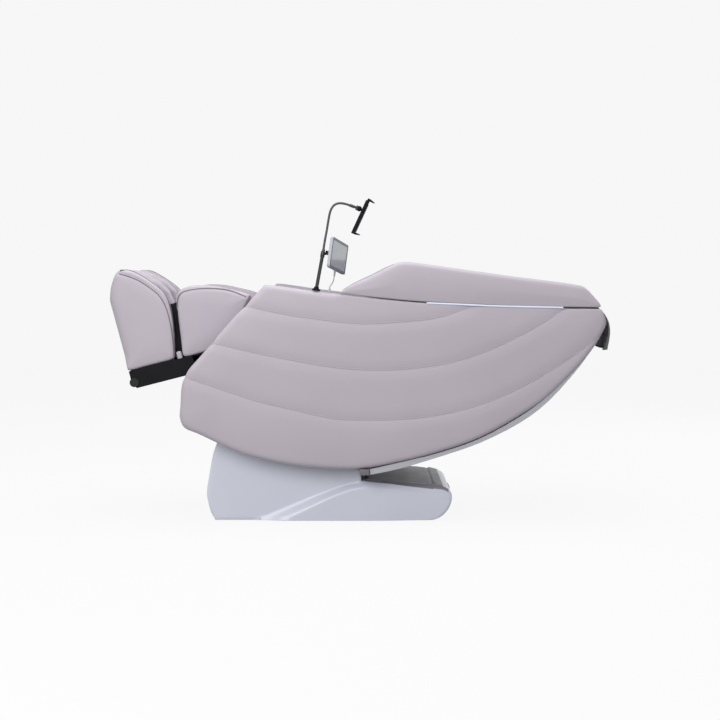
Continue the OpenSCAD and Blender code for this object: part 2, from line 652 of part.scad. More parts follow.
neck_r = 4;
ball_r = 10;
cup_r = ball_r + 0.35;
neck_route = [[-131.5, 1010], [-125, 1051], [-118, 1088], [-112, 1124], [-106, 1153],
              [-96, 1173], [-82, 1183], [-66, 1185], [-48, 1182], [-12, 1169]];
module gooseneck() color(steel) {
    tube([for (p = spline(neck_route, 4)) [p.x, stand_y, p.y]], neck_r, 10);
    translate([-131, stand_y, 1010]) rotate([0, pole_angle, 0]) cylinder(r = 5.4, h = 9);
    // Ferrule and the cup that the ball turns in
    translate([ball.x, stand_y, ball.y]) rotate([0, 110, 0]) rotate_extrude()
        polygon(concat([[0, -37], [5.6, -37], [5.6, -19], [neck_r + 0.2, -17.5], [neck_r + 0.2, -14.5],
                        [9, -11.5], [9, -cup_r * cos(50)]],
                       [for (a = [50 : -10 : 10]) cup_r * [sin(a), -cos(a)]], [[0, -cup_r]]));
}

ball = [0.2, 1165.3];
clamp_angle = 24.8;
module on_clamp() translate([ball.x, stand_y, ball.y]) rotate([0, clamp_angle, 0]) children();
ball_flat = 0.85 * ball_r;
module ball_head() color(dark_steel) {
    on_clamp() rotate([0, 90, 0]) {
        rotate_extrude() intersection() {
            circle(ball_r);
            translate([0, -ball_flat]) square([ball_r + 1, 2 * ball_flat]);
        }
        translate([0, 0, ball_flat - 1]) cylinder(r = 4, h = 5);
    }
}
clamp_up = 39;
clamp_dn = clamp_len - clamp_up;
plate_x = ball_flat + 1.1;
arm_end = plate_x + 33;
module phone_clamp() color(tray_black) on_clamp() difference() {
    union() {
        block([plate_x, -9, -clamp_dn], [plate_x + 14.4, 9, clamp_up]);
        slab(-9, 9) polygon([[plate_x, -clamp_dn], [plate_x + 15, -clamp_dn], [arm_end, -clamp_dn + 5],
                             [arm_end, -clamp_dn + 8], [plate_x, -clamp_dn + 8]]);
        translate([plate_x, 0, 0]) rotate([0, 90, 0]) cylinder(r = 13, h = 8);
    }
    translate([plate_x - 1, 0, 0]) rotate([0, 90, 0]) cylinder(r = 4 + fit, h = 9);
    block([plate_x + 3.4, -6, clamp_up - 62], [plate_x + 10.4, 6, clamp_up + 1]);
}
module clamp_jaw() color(tray_black) on_clamp() {
    block([plate_x + 4, -5.4, clamp_up - 38], [plate_x + 9.8, 5.4, clamp_up + 1]);
    slab(-9, 9) polygon([[plate_x + 4, clamp_up + 0.6], [arm_end, clamp_up + 0.6],
                         [arm_end, clamp_up + 3.6], [plate_x + 15, clamp_up + 8.6],
                         [plate_x + 4, clamp_up + 8.6]]);
}

// The tablet leans back a little and faces the sitter
tablet_at = [-74, -292, 994];
tablet_turn = [-9, 5, -17.5];
module on_tablet() translate(tablet_at) rotate([0, 0, tablet_turn.z]) rotate([0, tablet_turn.y, 0])
    rotate([tablet_turn.x, 0, 0]) children();
module tablet_case() color([0.36, 0.37, 0.44]) on_tablet() difference() {
    union() {
        rotate([90, 0, 90]) translate([0, 0, -tablet_t]) linear_extrude(tablet_t) offset(r = 8, $fn = 32)
            square([tablet_w - 16, tablet_h - 16], center = true);
        block([fork_at.x, -60, -6], [-tablet_t + 1, -30, 6]);
        bar_y([fork_at.x, 0], 6, -60, -30);
        translate([-5, -12, -tablet_h / 2 - 22]) cylinder(r1 = 3, r2 = 4.5, h = 23);
    }
    block([-2.2, -tablet_w / 2 + 11, -tablet_h / 2 + 9], [1, tablet_w / 2 - 11, tablet_h / 2 - 9]);
    translate([-6, tablet_w / 2 + 0.5, 20]) rotate([90, 0, 0]) cylinder(r = 3.2, h = 4.8);
    bar_y([fork_at.x, 0], 3 + fit, -70, -20);
}
module tablet_screen() color([0.62, 0.66, 0.70]) on_tablet()
    block([-2, -tablet_w / 2 + 11.5, -tablet_h / 2 + 9.5], [-0.4, tablet_w / 2 - 11.5, tablet_h / 2 - 9.5]);
module tablet_button() color(tray_black) on_tablet() translate([-6, tablet_w / 2 + 1.6, 20])
    rotate([90, 0, 0]) cylinder(r = 2.8, h = 4);

gland_at = [-110, -348, 862];
module cable_gland() color(tray_black) translate(gland_at) rotate([0, arm_slope, 0]) difference() {
    union() {
        cylinder(r = 7, h = 3);
        translate([0, 0, 2.9]) cylinder(r1 = 5, r2 = 3.6, h = 9);
    }
    translate([0, 0, 4]) cylinder(r = 2, h = 10);
}

// Route of the controller's cable, from the tablet down into the armrest
cable_route = [[-92.4, -311.6, 918.6], [-93.5, -312.9, 911], [-95.4, -316, 902.5],
               [-98.6, -322, 895], [-102, -329.5, 889.5], [-105.2, -337, 885],
               [-107.6, -343.8, 880.5], [-108.6, -347.2, 874.5], [-109, -348, 868]];
module tablet_cable() color([0.80, 0.80, 0.82]) tube(spline(cable_route, 3), cable_d / 2, 8);

base_frame();
tilt_shaft();
base_feet();
base_shell(left);  // base_shell_left
base_shell(right);  // base_shell_right
base_front_cover();
base_rear_cover();
rear_housing();
power_supply();
control_board();
air_pump();
power_inlet();
power_switch();
transport_wheels();
tilt_actuator_body();
tilt_actuator_rod();
seat_frame();
track_rails();
side_panel(left);  // side_panel_left
side_panel(right);  // side_panel_right
wing(left);  // wing_left
wing(right);  // wing_right
light_strips();
back_cover();
seat_cushion();
back_cushion();
head_pillow();
head_flap();
arm_well(left);  // arm_well_left
arm_well(right);  // arm_well_right
shoulder_pads();
massage_carriage();
kneading_wheel(left);  // kneading_wheel_left
kneading_wheel(right);  // kneading_wheel_right
leg_shaft();
leg_actuator_body();
leg_actuator_rod();
calf_frame();
calf_panel(left);  // calf_panel_left
calf_panel(right);  // calf_panel_right
calf_wells();
calf_cover();
foot_rails();
foot_panel(left);  // foot_panel_left
foot_panel(right);  // foot_panel_right
foot_wells();
foot_tray();
sole_roller();
floor_rollers();
stand_flange();
stand_pole();
gooseneck();
cable_gland();
tablet_cable();
tablet_case();
tablet_screen();
tablet_button();
ball_head();
phone_clamp();
clamp_jaw();
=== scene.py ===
# %% [markdown]
# # A reclining massage chair
# The chair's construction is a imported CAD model: frames, shafts, motors and plain solids for the
# soft parts. This lesson gives it its looks. Every object is in metres, in the model's own frame:
# X runs from the feet to the head, Y across the seat, Z up from the floor.

import math

import bpy
import numpy as np
from mathutils import Matrix, Vector
from mathutils.bvhtree import BVHTree


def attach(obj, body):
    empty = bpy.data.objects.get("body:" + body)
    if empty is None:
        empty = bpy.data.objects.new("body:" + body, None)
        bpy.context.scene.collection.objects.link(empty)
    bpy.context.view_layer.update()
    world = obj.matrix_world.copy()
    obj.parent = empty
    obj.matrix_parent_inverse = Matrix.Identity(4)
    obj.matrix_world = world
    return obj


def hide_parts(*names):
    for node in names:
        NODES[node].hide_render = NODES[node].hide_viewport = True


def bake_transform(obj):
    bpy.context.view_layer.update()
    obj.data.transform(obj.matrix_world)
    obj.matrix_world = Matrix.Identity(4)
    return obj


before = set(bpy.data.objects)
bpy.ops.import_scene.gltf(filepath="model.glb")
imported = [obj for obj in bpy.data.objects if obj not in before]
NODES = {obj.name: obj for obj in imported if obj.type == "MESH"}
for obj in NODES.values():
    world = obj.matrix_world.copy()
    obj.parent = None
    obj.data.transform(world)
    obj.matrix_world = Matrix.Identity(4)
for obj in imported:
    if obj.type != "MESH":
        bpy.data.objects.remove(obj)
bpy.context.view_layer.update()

# %% [markdown]
# ## Reference frames
# The seat, the back and the leg rest each have a frame of their own: the first axis runs along
# the surface, the second across the chair, and the third out of the surface. A matrix carries
# points from such a frame to the chair's. Outlines are short lists of millimetre values, and a
# spline through them gives the curve.

# %% Frames and leading sizes
HIP = Vector((-0.050, 0, 0.405))
LEG_PIVOT = Vector((-0.560, 0, 0.612))
SEAT_SLOPE = math.radians(41)
BACK_SLOPE = math.radians(20)
LEG_SLOPE = math.radians(14.4)
HALF_TURN = Matrix.Rotation(math.pi, 4, "Z")
ON_SEAT = Matrix.Translation(HIP) @ HALF_TURN @ Matrix.Rotation(-SEAT_SLOPE, 4, "Y")
ON_BACK = Matrix.Translation(HIP) @ Matrix.Rotation(-BACK_SLOPE, 4, "Y")
ON_LEG = Matrix.Translation(LEG_PIVOT) @ HALF_TURN @ Matrix.Rotation(LEG_SLOPE, 4, "Y")
PANEL_OUT = 0.390
PANEL_IN = 0.340
LEG_OUT = 0.270
LEG_IN = 0.228
BASE_OUT = 0.285
print("seat slope", round(math.degrees(SEAT_SLOPE)), "and back slope", round(math.degrees(BACK_SLOPE)))


# %% Lines
def mm(points):
    """Millimetre values as an array in metres."""
    return np.array(points, float) / 1000


def spline(points, steps):
    """A smooth curve through the points, with so many steps between each two."""
    p = np.array(points, float)
    made = []
    for i in range(len(p) - 1):
        a, b, c, d = p[max(i - 1, 0)], p[i], p[i + 1], p[min(i + 2, len(p) - 1)]
        for k in range(steps):
            t = k / steps
            made.append(0.5 * (2 * b + (c - a) * t + (2 * a - 5 * b + 4 * c - d) * t ** 2
                               + (3 * b - a - 3 * c + d) * t ** 3))
    return np.array(made + [p[-1]])


def distances(line):
    """How far along the line each of its points lies."""
    gaps = np.linalg.norm(np.diff(line, axis=0), axis=1)
    return np.concatenate([[0], np.cumsum(gaps)])


def length_of(line):
    """The line's whole length."""
    return float(distances(line)[-1])


def walk(line, start, end, count):
    """Points at equal steps from one distance along a line to another, or to so far before its end."""
    along = distances(line)
    wanted = np.linspace(start, along[-1] + end if end <= 0 else end, count)
    return np.stack([np.interp(wanted, along, line[:, k]) for k in range(line.shape[1])], 1)


def even(line, spacing):
    """The same line with points at an even spacing."""
    return walk(line, 0, 0, max(2, int(round(length_of(line) / spacing)) + 1))


def at_depth(line, y):
    """A side-view line as points in space, at one depth or at one for each point."""
    return np.stack([line[:, 0], np.broadcast_to(y, len(line)), line[:, 1]], 1)


def leg_view(points):
    """Side-view points from the leg rest's frame to the chair's."""
    s, up = np.array(points, float).T
    x = LEG_PIVOT.x - s * math.cos(LEG_SLOPE) - up * math.sin(LEG_SLOPE)
    z = LEG_PIVOT.z - s * math.sin(LEG_SLOPE) + up * math.cos(LEG_SLOPE)
    return np.stack([x, z], 1)


def local(matrix, points):
    """Points carried by a matrix."""
    return np.array([matrix @ Vector(point) for point in points])


def ease(value, low, high):
    """0 up to one value, 1 from another on, and a soft S between them."""
    share = np.clip((value - low) / (high - low), 0, 1)
    return share * share * (3 - 2 * share)


print("lines ready")

# %% [markdown]
# ## Camera
# A long lens from five metres away, level with the chair's upper edge and tilted down a little,
# as a catalogue shows furniture from its side.

# %% Camera
CAMERA_PLACE = (0.003, -5.380, 0.925)
CAMERA_DOWN = 3.562
CAMERA_LENS = 68.493
bpy.ops.object.select_all(action="DESELECT")
bpy.ops.object.camera_add(location=CAMERA_PLACE, rotation=(math.radians(90 - CAMERA_DOWN), 0, 0))
camera = bpy.context.object
camera.data.lens = CAMERA_LENS
camera.data.sensor_width = 36
bpy.context.scene.camera = camera
print("camera", camera.location[:], "lens", camera.data.lens)

# %% [markdown]
# ## Helpers for pieces
# Blender's operators act on whatever is selected, so each step first selects one object alone.
# A finished piece keeps its place in its mesh and rides on one of the model's bodies.


# %% Adding, selecting and shaping
def add_new(operator, **values):
    """Run an operator that adds an object, with nothing else selected, and return the object."""
    bpy.ops.object.select_all(action="DESELECT")
    operator(**values)
    return bpy.context.object


def new_object(name, data):
    """An object for a mesh or a curve, put in the scene."""
    made = bpy.data.objects.new(name, data)
    bpy.context.scene.collection.objects.link(made)
    return made


def pick(piece):
    """Select one object alone and make it active."""
    bpy.ops.object.select_all(action="DESELECT")
    piece.select_set(True)
    bpy.context.view_layer.objects.active = piece
    return piece


def settle(piece):
    """Apply an object's own place, turn and size to its mesh."""
    pick(piece)
    bpy.ops.object.transform_apply(location=True, rotation=True, scale=True)
    return piece


def modify(piece, kind, **values):
    """Add one modifier, set its values and apply it."""
    pick(piece)
    modifier = piece.modifiers.new(kind.title(), kind)
    for key, value in values.items():
        setattr(modifier, key, value)
    bpy.ops.object.modifier_apply(modifier=modifier.name)
    return piece


def smooth(piece, degrees):
    """Smooth shading, with edges sharper than the angle left crisp."""
    pick(piece)
    bpy.ops.object.shade_smooth_by_angle(angle=math.radians(degrees))
    return piece


def edit_all(piece, *steps):
    """Run edit-mode operators on the whole mesh: each step is an operator and its values."""
    pick(piece)
    bpy.ops.object.mode_set(mode="EDIT")
    bpy.ops.mesh.select_all(action="SELECT")
    for operator, values in steps:
        operator(**values)
    bpy.ops.object.mode_set(mode="OBJECT")
    return piece


def face_out(piece):
    """Turn all faces outwards."""
    return edit_all(piece, (bpy.ops.mesh.normals_make_consistent, {"inside": False}))


def read_vertices(piece, what):
    """One vector of every vertex, such as its place or its normal, as an array."""
    values = np.empty(len(piece.data.vertices) * 3, np.float32)
    piece.data.vertices.foreach_get(what, values)
    return values.reshape(-1, 3).astype(float)


def get_points(piece):
    """All vertex places as an array."""
    return read_vertices(piece, "co")


def set_points(piece, points):
    """Move all vertices to the places in an array."""
    piece.data.vertices.foreach_set("co", np.asarray(points, np.float32).ravel())
    piece.data.update()


def skin_tree(piece):
    """A piece's surface, made ready for looking at it along rays."""
    return BVHTree.FromObject(piece, bpy.context.evaluated_depsgraph_get())


def rounded_box(place, size, rounding, turn=(0, 0, 0)):
    """A box with rounded edges."""
    box = add_new(bpy.ops.mesh.primitive_cube_add, size=1, location=place, rotation=turn, scale=size)
    return modify(settle(box), "BEVEL", width=rounding, segments=3)


print("shaping ready")


# %% Copying and handing over
SAME_PLACE = 1e-5
FLAT_ANGLE = math.radians(1)


def hand_over(piece, name, body, material, stands_for=()):
    """Name a finished piece, give it its finish and, if a body is named, let it ride there."""
    piece.name = name
    piece.data.name = name
    piece.data.materials.clear()
    piece.data.materials.append(material)
    if body:
        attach(piece, body)
    if stands_for:
        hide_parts(*stands_for)
    return piece


def mirrored(piece):
    """A copy with its own mesh on the chair's other side."""
    twin = new_object(piece.name + "_twin", piece.data.copy())
    twin.matrix_world = Matrix.Scale(-1, 4, (0, 1, 0))
    return face_out(settle(twin))


def both_sides(piece, name, body, material, stands_for="", sides=("left", "right")):
    """Hand over a piece and its mirror image. {} in a name stands for the side."""
    pair = (piece, mirrored(piece))
    for each, side in zip(pair, sides):
        nodes = [stands_for.format(side)] if stands_for else ()
        hand_over(each, name.format(side), body, material, nodes)
    return pair


def from_node(node, name):
    """A copy of a CAD node's mesh, merged and cleared of needless edges, to work on."""
    mesh = NODES[node].data.copy()
    piece = new_object(name, mesh)
    mesh.materials.clear()
    if mesh.has_custom_normals:
        pick(piece)
        bpy.ops.mesh.customdata_custom_splitnormals_clear()
    return edit_all(piece, (bpy.ops.mesh.remove_doubles, {"threshold": SAME_PLACE}),
                    (bpy.ops.mesh.dissolve_limited, {"angle_limit": FLAT_ANGLE}))


print("helpers ready")


# %% [markdown]
# ## Tubes
# Cables, piping and bent rods are tubes along a line. A poly curve with a round bevel gives one,
# and converting it to a mesh lets it be shaped like any other piece.

# %% A tube along a path
def tube(path, radius, name, sides=3, closed=False, swell=None):
    """A round tube along points in the chair's frame, its radius multiplied by swell at each."""
    curve = bpy.data.curves.new(name, "CURVE")
    curve.dimensions = "3D"
    curve.bevel_depth = radius
    curve.bevel_resolution = sides
    curve.use_fill_caps = True
    line = curve.splines.new("POLY")
    line.points.add(len(path) - 1)
    for point, place, factor in zip(line.points, path, np.ones(len(path)) if swell is None else swell):
        point.co = (*place, 1)
        point.radius = factor
    line.use_cyclic_u = closed
    pick(new_object(name, curve))
    bpy.ops.object.convert(target="MESH")
    return smooth(face_out(bpy.context.object), 50)


# %% [markdown]
# ## The controller's cable
# A thin, soft cable leaves the tablet through a strain relief, drops and curves over to a gland
# in the armrest. It is short, and held at both ends, so it keeps a gentle S. On the chair its
# upper end follows the tablet when that tilts; here the cable is one fixed piece.

# %% Cable
CABLE_ROUTE = mm([[-92.4, -311.6, 918.6], [-93.5, -312.9, 911], [-95.4, -316, 902.5],
                  [-98.6, -322, 895], [-102, -329.5, 889.5], [-105.2, -337, 885],
                  [-107.6, -343.8, 880.5], [-108.6, -347.2, 874.5], [-109, -348, 868]])
CABLE_THICK = 0.0036
cable_path = spline(CABLE_ROUTE, 3)
cable = tube(cable_path, CABLE_THICK / 2, "controller_cable")

# %% [markdown]
# ## Shader nodes
# A finish is a tree of shader nodes. Written out, a tree is long and hard to follow. Three small
# functions add a node together with its links and values, so that a finish takes a few lines.


# %% A small language for node trees
def group(name, takes, gives):
    """A new node group: input names with their values, and output names. Its ends, and places."""
    made = bpy.data.node_groups.new(name, "ShaderNodeTree")
    for label, value in takes.items():
        socket = made.interface.new_socket(label, in_out="INPUT", socket_type="NodeSocketFloat")
        socket.default_value = value
    for label in gives:
        made.interface.new_socket(label, in_out="OUTPUT", socket_type="NodeSocketFloat")
    starts, ends = made.nodes.new("NodeGroupInput"), made.nodes.new("NodeGroupOutput")
    return made, starts.outputs, ends.inputs, node(made, "TexCoord").outputs["Object"]


def node(tree, kind, links=(), **values):
    """One node: links are (source socket, input name or number), values set its own options."""
    made = tree.nodes.new("ShaderNode" + kind)
    for key, value in values.items():
        if key.startswith("in_"):
            made.inputs[key[3:].replace("_", " ")].default_value = value
        else:
            setattr(made, key, value)
    for source, target in links:
        tree.links.new(source, made.inputs[target])
    return made


def math_node(tree, operation, a, b):
    """A math node on two sockets or numbers."""
    made = node(tree, "Math", operation=operation)
    for i, value in enumerate((a, b)):
        if isinstance(value, (int, float)):
            made.inputs[i].default_value = value
        else:
            tree.links.new(value, made.inputs[i])
    return made.outputs[0]


def bare_tree(owner):
    """The emptied node tree of a material or a world, and its light paths."""
    owner.use_nodes = True
    owner.node_tree.nodes.clear()
    return owner.node_tree, node(owner.node_tree, "LightPath").outputs


print("node functions ready")

# %% [markdown]
# ## Floor and light
# The chair stands on a pale sweep, part floor and part wall. To the camera the sweep adds a steady
# glow to its own diffuse white, so it looks almost evenly pale and keeps a soft shadow. The world
# and three broad lamps light the chair at a plain level.

# %% Floor and backdrop
SWEEP_REACH = 9.0
SWEEP_HEIGHT = 6.0
SWEEP_WIDE = 26.0
SWEEP_BEND = 1.2
FLOOR_DROP = -0.0005
PALE_SEEN = (0.06, 0.06, 0.06, 1)
PALE_BOUNCE = (0.29, 0.29, 0.29, 1)
GLOW_SEEN = 0.905
floor = add_new(bpy.ops.mesh.primitive_plane_add, size=1, location=(0, 0, FLOOR_DROP))
floor.name = "floor_sweep"
floor.scale = (SWEEP_WIDE, 2 * SWEEP_REACH, 1)
settle(floor)
edit_all(floor, (bpy.ops.mesh.select_all, {"action": "DESELECT"}))
for edge in floor.data.edges:
    edge.select = all(floor.data.vertices[v].co.y > 0 for v in edge.vertices)
bpy.ops.object.mode_set(mode="EDIT")
bpy.ops.mesh.extrude_region_move(TRANSFORM_OT_translate={"value": (0, 0, SWEEP_HEIGHT)})
bpy.ops.object.mode_set(mode="OBJECT")
modify(floor, "BEVEL", width=SWEEP_BEND, segments=16)
smooth(floor, 60)

pale = bpy.data.materials.new("pale_sweep")
tree, rays = bare_tree(pale)
white = node(tree, "Mix", [(rays["Is Camera Ray"], "Factor")], data_type="RGBA", in_A=PALE_BOUNCE,
             in_B=PALE_SEEN)
diffuse = node(tree, "BsdfDiffuse", [(white.outputs["Result"], "Color")])
seen = math_node(tree, "MAXIMUM", rays["Is Camera Ray"], rays["Is Glossy Ray"])
seen = math_node(tree, "MAXIMUM", seen, rays["Is Transmission Ray"])
glow = node(tree, "Emission", [(math_node(tree, "MULTIPLY", seen, GLOW_SEEN), "Strength")])
both = node(tree, "AddShader", [(diffuse.outputs[0], 0), (glow.outputs[0], 1)])
node(tree, "OutputMaterial", [(both.outputs[0], "Surface")])
floor.data.materials.append(pale)
print("sweep", tuple(round(v, 2) for v in floor.dimensions))

# %% World and lamps
WORLD_LIGHT = 0.44
WORLD_SEEN = 0.945
LAMPS = {
    "lamp_over": {"place": (-0.2, -0.4, 3.4), "aim": (0, 0, 0.5), "size": 3.2, "power": 66},
    "lamp_near": {"place": (-1.6, -4.2, 2.3), "aim": (0, 0, 0.5), "size": 2.6, "power": 98},
    "lamp_rear": {"place": (2.8, 2.4, 2.2), "aim": (0, 0, 0.6), "size": 2.4, "power": 34},
}
scene = bpy.context.scene
scene.view_settings.view_transform = "Standard"
scene.world = bpy.data.worlds.new("studio")
tree, rays = bare_tree(scene.world)
level = node(tree, "MapRange", [(rays["Is Camera Ray"], "Value")], in_To_Min=WORLD_LIGHT,
             in_To_Max=WORLD_SEEN)
sky = node(tree, "Background", [(level.outputs[0], "Strength")], in_Color=(1, 1, 1, 1))
node(tree, "OutputWorld", [(sky.outputs[0], "Surface")])
for name, values in LAMPS.items():
    turn = (Vector(values["aim"]) - Vector(values["place"])).to_track_quat("-Z", "Y")
    lamp = add_new(bpy.ops.object.light_add, type="AREA", location=values["place"],
                   rotation=turn.to_euler())
    lamp.name = name
    lamp.data.shape = "DISK"
    lamp.data.size = values["size"]
    lamp.data.energy = values["power"]
print(len(LAMPS), "lamps")

# %% [markdown]
# ## Shader building blocks
# Leather, moulded plastic and metal share a few effects: pores and creases, a fine stipple, slow
# colour drift, and paler worn edges. Each is a node group with named inputs and outputs, made
# once, and each material places it with its own values.

# %% Leather grain: pebbles, pores and long soft creases
leather_grain, takes, gives, place = group("leather_grain", {"Pebble": 420.0, "Depth": 1.0},
                                           ["Height", "Mask"])
pebbles = node(leather_grain, "TexVoronoi", [(place, "Vector"), (takes["Pebble"], "Scale")],
               feature="SMOOTH_F1", in_Smoothness=0.6, in_Randomness=0.9)
pores = node(leather_grain, "TexNoise", [(place, "Vector")], in_Scale=900.0, in_Detail=3.0)
creases = node(leather_grain, "TexNoise", [(place, "Vector")], in_Scale=26.0, in_Detail=6.0,
               in_Roughness=0.62)
grain = math_node(leather_grain, "SUBTRACT", 1.0, pebbles.outputs["Distance"])
grain = math_node(leather_grain, "ADD", math_node(leather_grain, "MULTIPLY", grain, 0.7),
                  math_node(leather_grain, "MULTIPLY", pores.outputs["Fac"], 0.25))
grain = math_node(leather_grain, "ADD", grain,
                  math_node(leather_grain, "MULTIPLY", creases.outputs["Fac"], 0.5))
leather_grain.links.new(math_node(leather_grain, "MULTIPLY", grain, takes["Depth"]), gives["Height"])
leather_grain.links.new(pebbles.outputs["Distance"], gives["Mask"])

# %% Drift: a slow change over the surface, for colour and roughness
drift, takes, gives, place = group("drift", {"Scale": 3.0, "Low": 0.0, "High": 1.0}, ["Value"])
cloud = node(drift, "TexNoise", [(place, "Vector"), (takes["Scale"], "Scale")], in_Detail=4.0,
             in_Roughness=0.55)
spread = node(drift, "MapRange", [(cloud.outputs["Fac"], "Value"), (takes["Low"], "To Min"),
                                  (takes["High"], "To Max")], in_From_Min=0.3, in_From_Max=0.7)
drift.links.new(spread.outputs[0], gives["Value"])

# %% Stipple: the fine texture of moulded plastic and of powder coat
stipple, takes, gives, place = group("stipple", {"Scale": 1500.0}, ["Height"])
dots = node(stipple, "TexNoise", [(place, "Vector"), (takes["Scale"], "Scale")], in_Detail=2.0,
            in_Roughness=0.5)
stipple.links.new(dots.outputs["Fac"], gives["Height"])

# %% Worn edges: where the surface is convex, handling has polished or paled it
wear, takes, gives, place = group("worn_edges", {"Amount": 1.0, "Break Up": 60.0}, ["Mask"])
edge = node(wear, "NewGeometry").outputs["Pointiness"]
sharp = node(wear, "MapRange", [(edge, "Value")], in_From_Min=0.52, in_From_Max=0.62)
broken = node(wear, "TexNoise", [(place, "Vector"), (takes["Break Up"], "Scale")], in_Detail=5.0)
masked = math_node(wear, "MULTIPLY", sharp.outputs[0], broken.outputs["Fac"])
wear.links.new(math_node(wear, "MULTIPLY", masked, takes["Amount"]), gives["Mask"])

# %% Brush marks: fine lines along X, for turned and drawn metal
brush, takes, gives, place = group("brush_marks", {"Fineness": 900.0}, ["Height"])
stretch = node(brush, "Mapping", [(place, "Vector")], in_Scale=(0.03, 1.0, 1.0))
lines = node(brush, "TexNoise", [(stretch.outputs[0], "Vector"), (takes["Fineness"], "Scale")],
             in_Detail=3.0)
brush.links.new(lines.outputs["Fac"], gives["Height"])
print("groups:", [g.name for g in bpy.data.node_groups])

# %% [markdown]
# ## Finishes
# One function lays out a material: a Principled shader whose colour drifts between two near
# tones and pales at worn edges, whose roughness drifts too, and whose bump comes from one of the
# texture groups. What differs between leather, plastic and metal is a row of values.

# %% One function for every finish
WORN_TONE = 1.35
FINE_DRIFT = 7


def tone(rgb, factor):
    """A colour made lighter or darker, with its alpha."""
    return tuple(min(1.0, c * factor) for c in rgb) + (1.0,)


def linear(red, green, blue):
    """A colour given in display values from 0 to 255, as linear light."""
    return tuple(((c / 255 + 0.055) / 1.055) ** 2.4 if c > 10 else c / 255 / 12.92
                 for c in (red, green, blue))


def finish(name, rgb, rough, bump=stipple, grain=None, strength=0.2, height=0.0002, spread=0.06,
           drift_scale=3.0, worn=0.0, **sockets):
    """A material: colour, roughness range, bump group and its first value, and shader constants."""
    made = bpy.data.materials.new(name)
    made.use_nodes = True
    tree = made.node_tree
    shader = tree.nodes["Principled BSDF"]
    for label, value in sockets.items():
        shader.inputs[label.replace("_", " ")].default_value = value
    slow = node(tree, "Group", node_tree=drift, in_Scale=drift_scale)
    colour = node(tree, "Mix", [(slow.outputs[0], "Factor")], data_type="RGBA",
                  in_A=tone(rgb, 1 - spread), in_B=tone(rgb, 1 + spread)).outputs["Result"]
    if worn:
        edges = node(tree, "Group", node_tree=wear, in_Amount=worn)
        colour = node(tree, "Mix", [(edges.outputs[0], "Factor"), (colour, "A")], data_type="RGBA",
                      in_B=tone(rgb, WORN_TONE)).outputs["Result"]
    tree.links.new(colour, shader.inputs["Base Color"])
    uneven = node(tree, "Group", node_tree=drift, in_Scale=drift_scale * FINE_DRIFT, in_Low=rough[0],
                  in_High=rough[1])
    tree.links.new(uneven.outputs[0], shader.inputs["Roughness"])
    texture = node(tree, "Group", node_tree=bump)
    if grain:
        texture.inputs[0].default_value = grain
    relief = node(tree, "Bump", [(texture.outputs["Height"], "Height")], in_Strength=strength,
                  in_Distance=height)
    tree.links.new(relief.outputs[0], shader.inputs["Normal"])
    return made


print("one function for every finish")

# %% Leathers and cloth
leather = finish("leather", linear(191, 183, 193), (0.44, 0.56), leather_grain, strength=0.35,
                 height=0.0005, spread=0.03, drift_scale=2.2, Specular_IOR_Level=0.38,
                 Sheen_Weight=0.12, Sheen_Roughness=0.5)
leather_band = finish("leather_band", linear(187, 180, 190), (0.46, 0.58), leather_grain,
                      strength=0.35, height=0.0005, spread=0.04, Specular_IOR_Level=0.38)
# Dark leather for the arm wells' lining; the same tone also serves as painted shade in two crevice cords.
dark_leather = finish("dark_leather", linear(78, 74, 78), (0.5, 0.65), leather_grain, strength=0.4,
                      height=0.0005, spread=0.10, Specular_IOR_Level=0.35)
flap_leather = finish("flap_leather", linear(88, 83, 87), (0.5, 0.62), leather_grain, strength=0.4,
                      height=0.0005, Specular_IOR_Level=0.35)
welt_leather = finish("welt_leather", linear(124, 114, 122), (0.45, 0.6), leather_grain, grain=600.0,
                      strength=0.3, height=0.0003)
thread = finish("thread", linear(208, 200, 206), (0.6, 0.7), grain=2500.0, strength=0.5)
gap_cloth = finish("gap_cloth", linear(34, 32, 36), (0.8, 0.9), grain=1200.0, strength=0.6,
                   height=0.0004)

# %% Plastics and rubber
shell_white = finish("shell_white", linear(224, 227, 241), (0.30, 0.36), grain=900.0, strength=0.015,
                     height=0.0001, spread=0.008, Coat_Weight=0.25, Coat_Roughness=0.2)
trim_grey = finish("trim_grey", linear(186, 186, 194), (0.34, 0.44), strength=0.1, spread=0.02, worn=0.2)
# Painted shade: this mid grey stands for the base's light grey plastic where the chair shades it, on the
# rear housing and on the shells' deck.
housing_painted_shade = finish("housing_painted_shade", linear(146, 143, 152), (0.36, 0.48), strength=0.15, spread=0.03,
                      worn=0.3)
block_grey = finish("block_grey", linear(112, 108, 112), (0.4, 0.55), worn=0.3)
black_plastic = finish("black_plastic", linear(9, 9, 16), (0.5, 0.6), strength=0.25, height=0.0003,
                       spread=0.08, worn=0.4, Specular_IOR_Level=0.16)
rubber = finish("rubber", linear(26, 26, 29), (0.7, 0.85), grain=900.0, strength=0.4, height=0.0004,
                spread=0.1)
clamp_pad_grey = finish("clamp_pad_grey", linear(150, 147, 166), (0.6, 0.75), grain=1400.0,
                        strength=0.3, height=0.0003)
nylon = finish("nylon", linear(214, 204, 176), (0.4, 0.52), strength=0.1)
cable_sheath = finish("cable_sheath", linear(150, 148, 155), (0.45, 0.55), strength=0.1)
tablet_grey = finish("tablet_grey", linear(176, 176, 188), (0.3, 0.4), strength=0.08, worn=0.3)
bezel_grey = finish("bezel_grey", linear(88, 90, 106), (0.3, 0.4), strength=0.06)

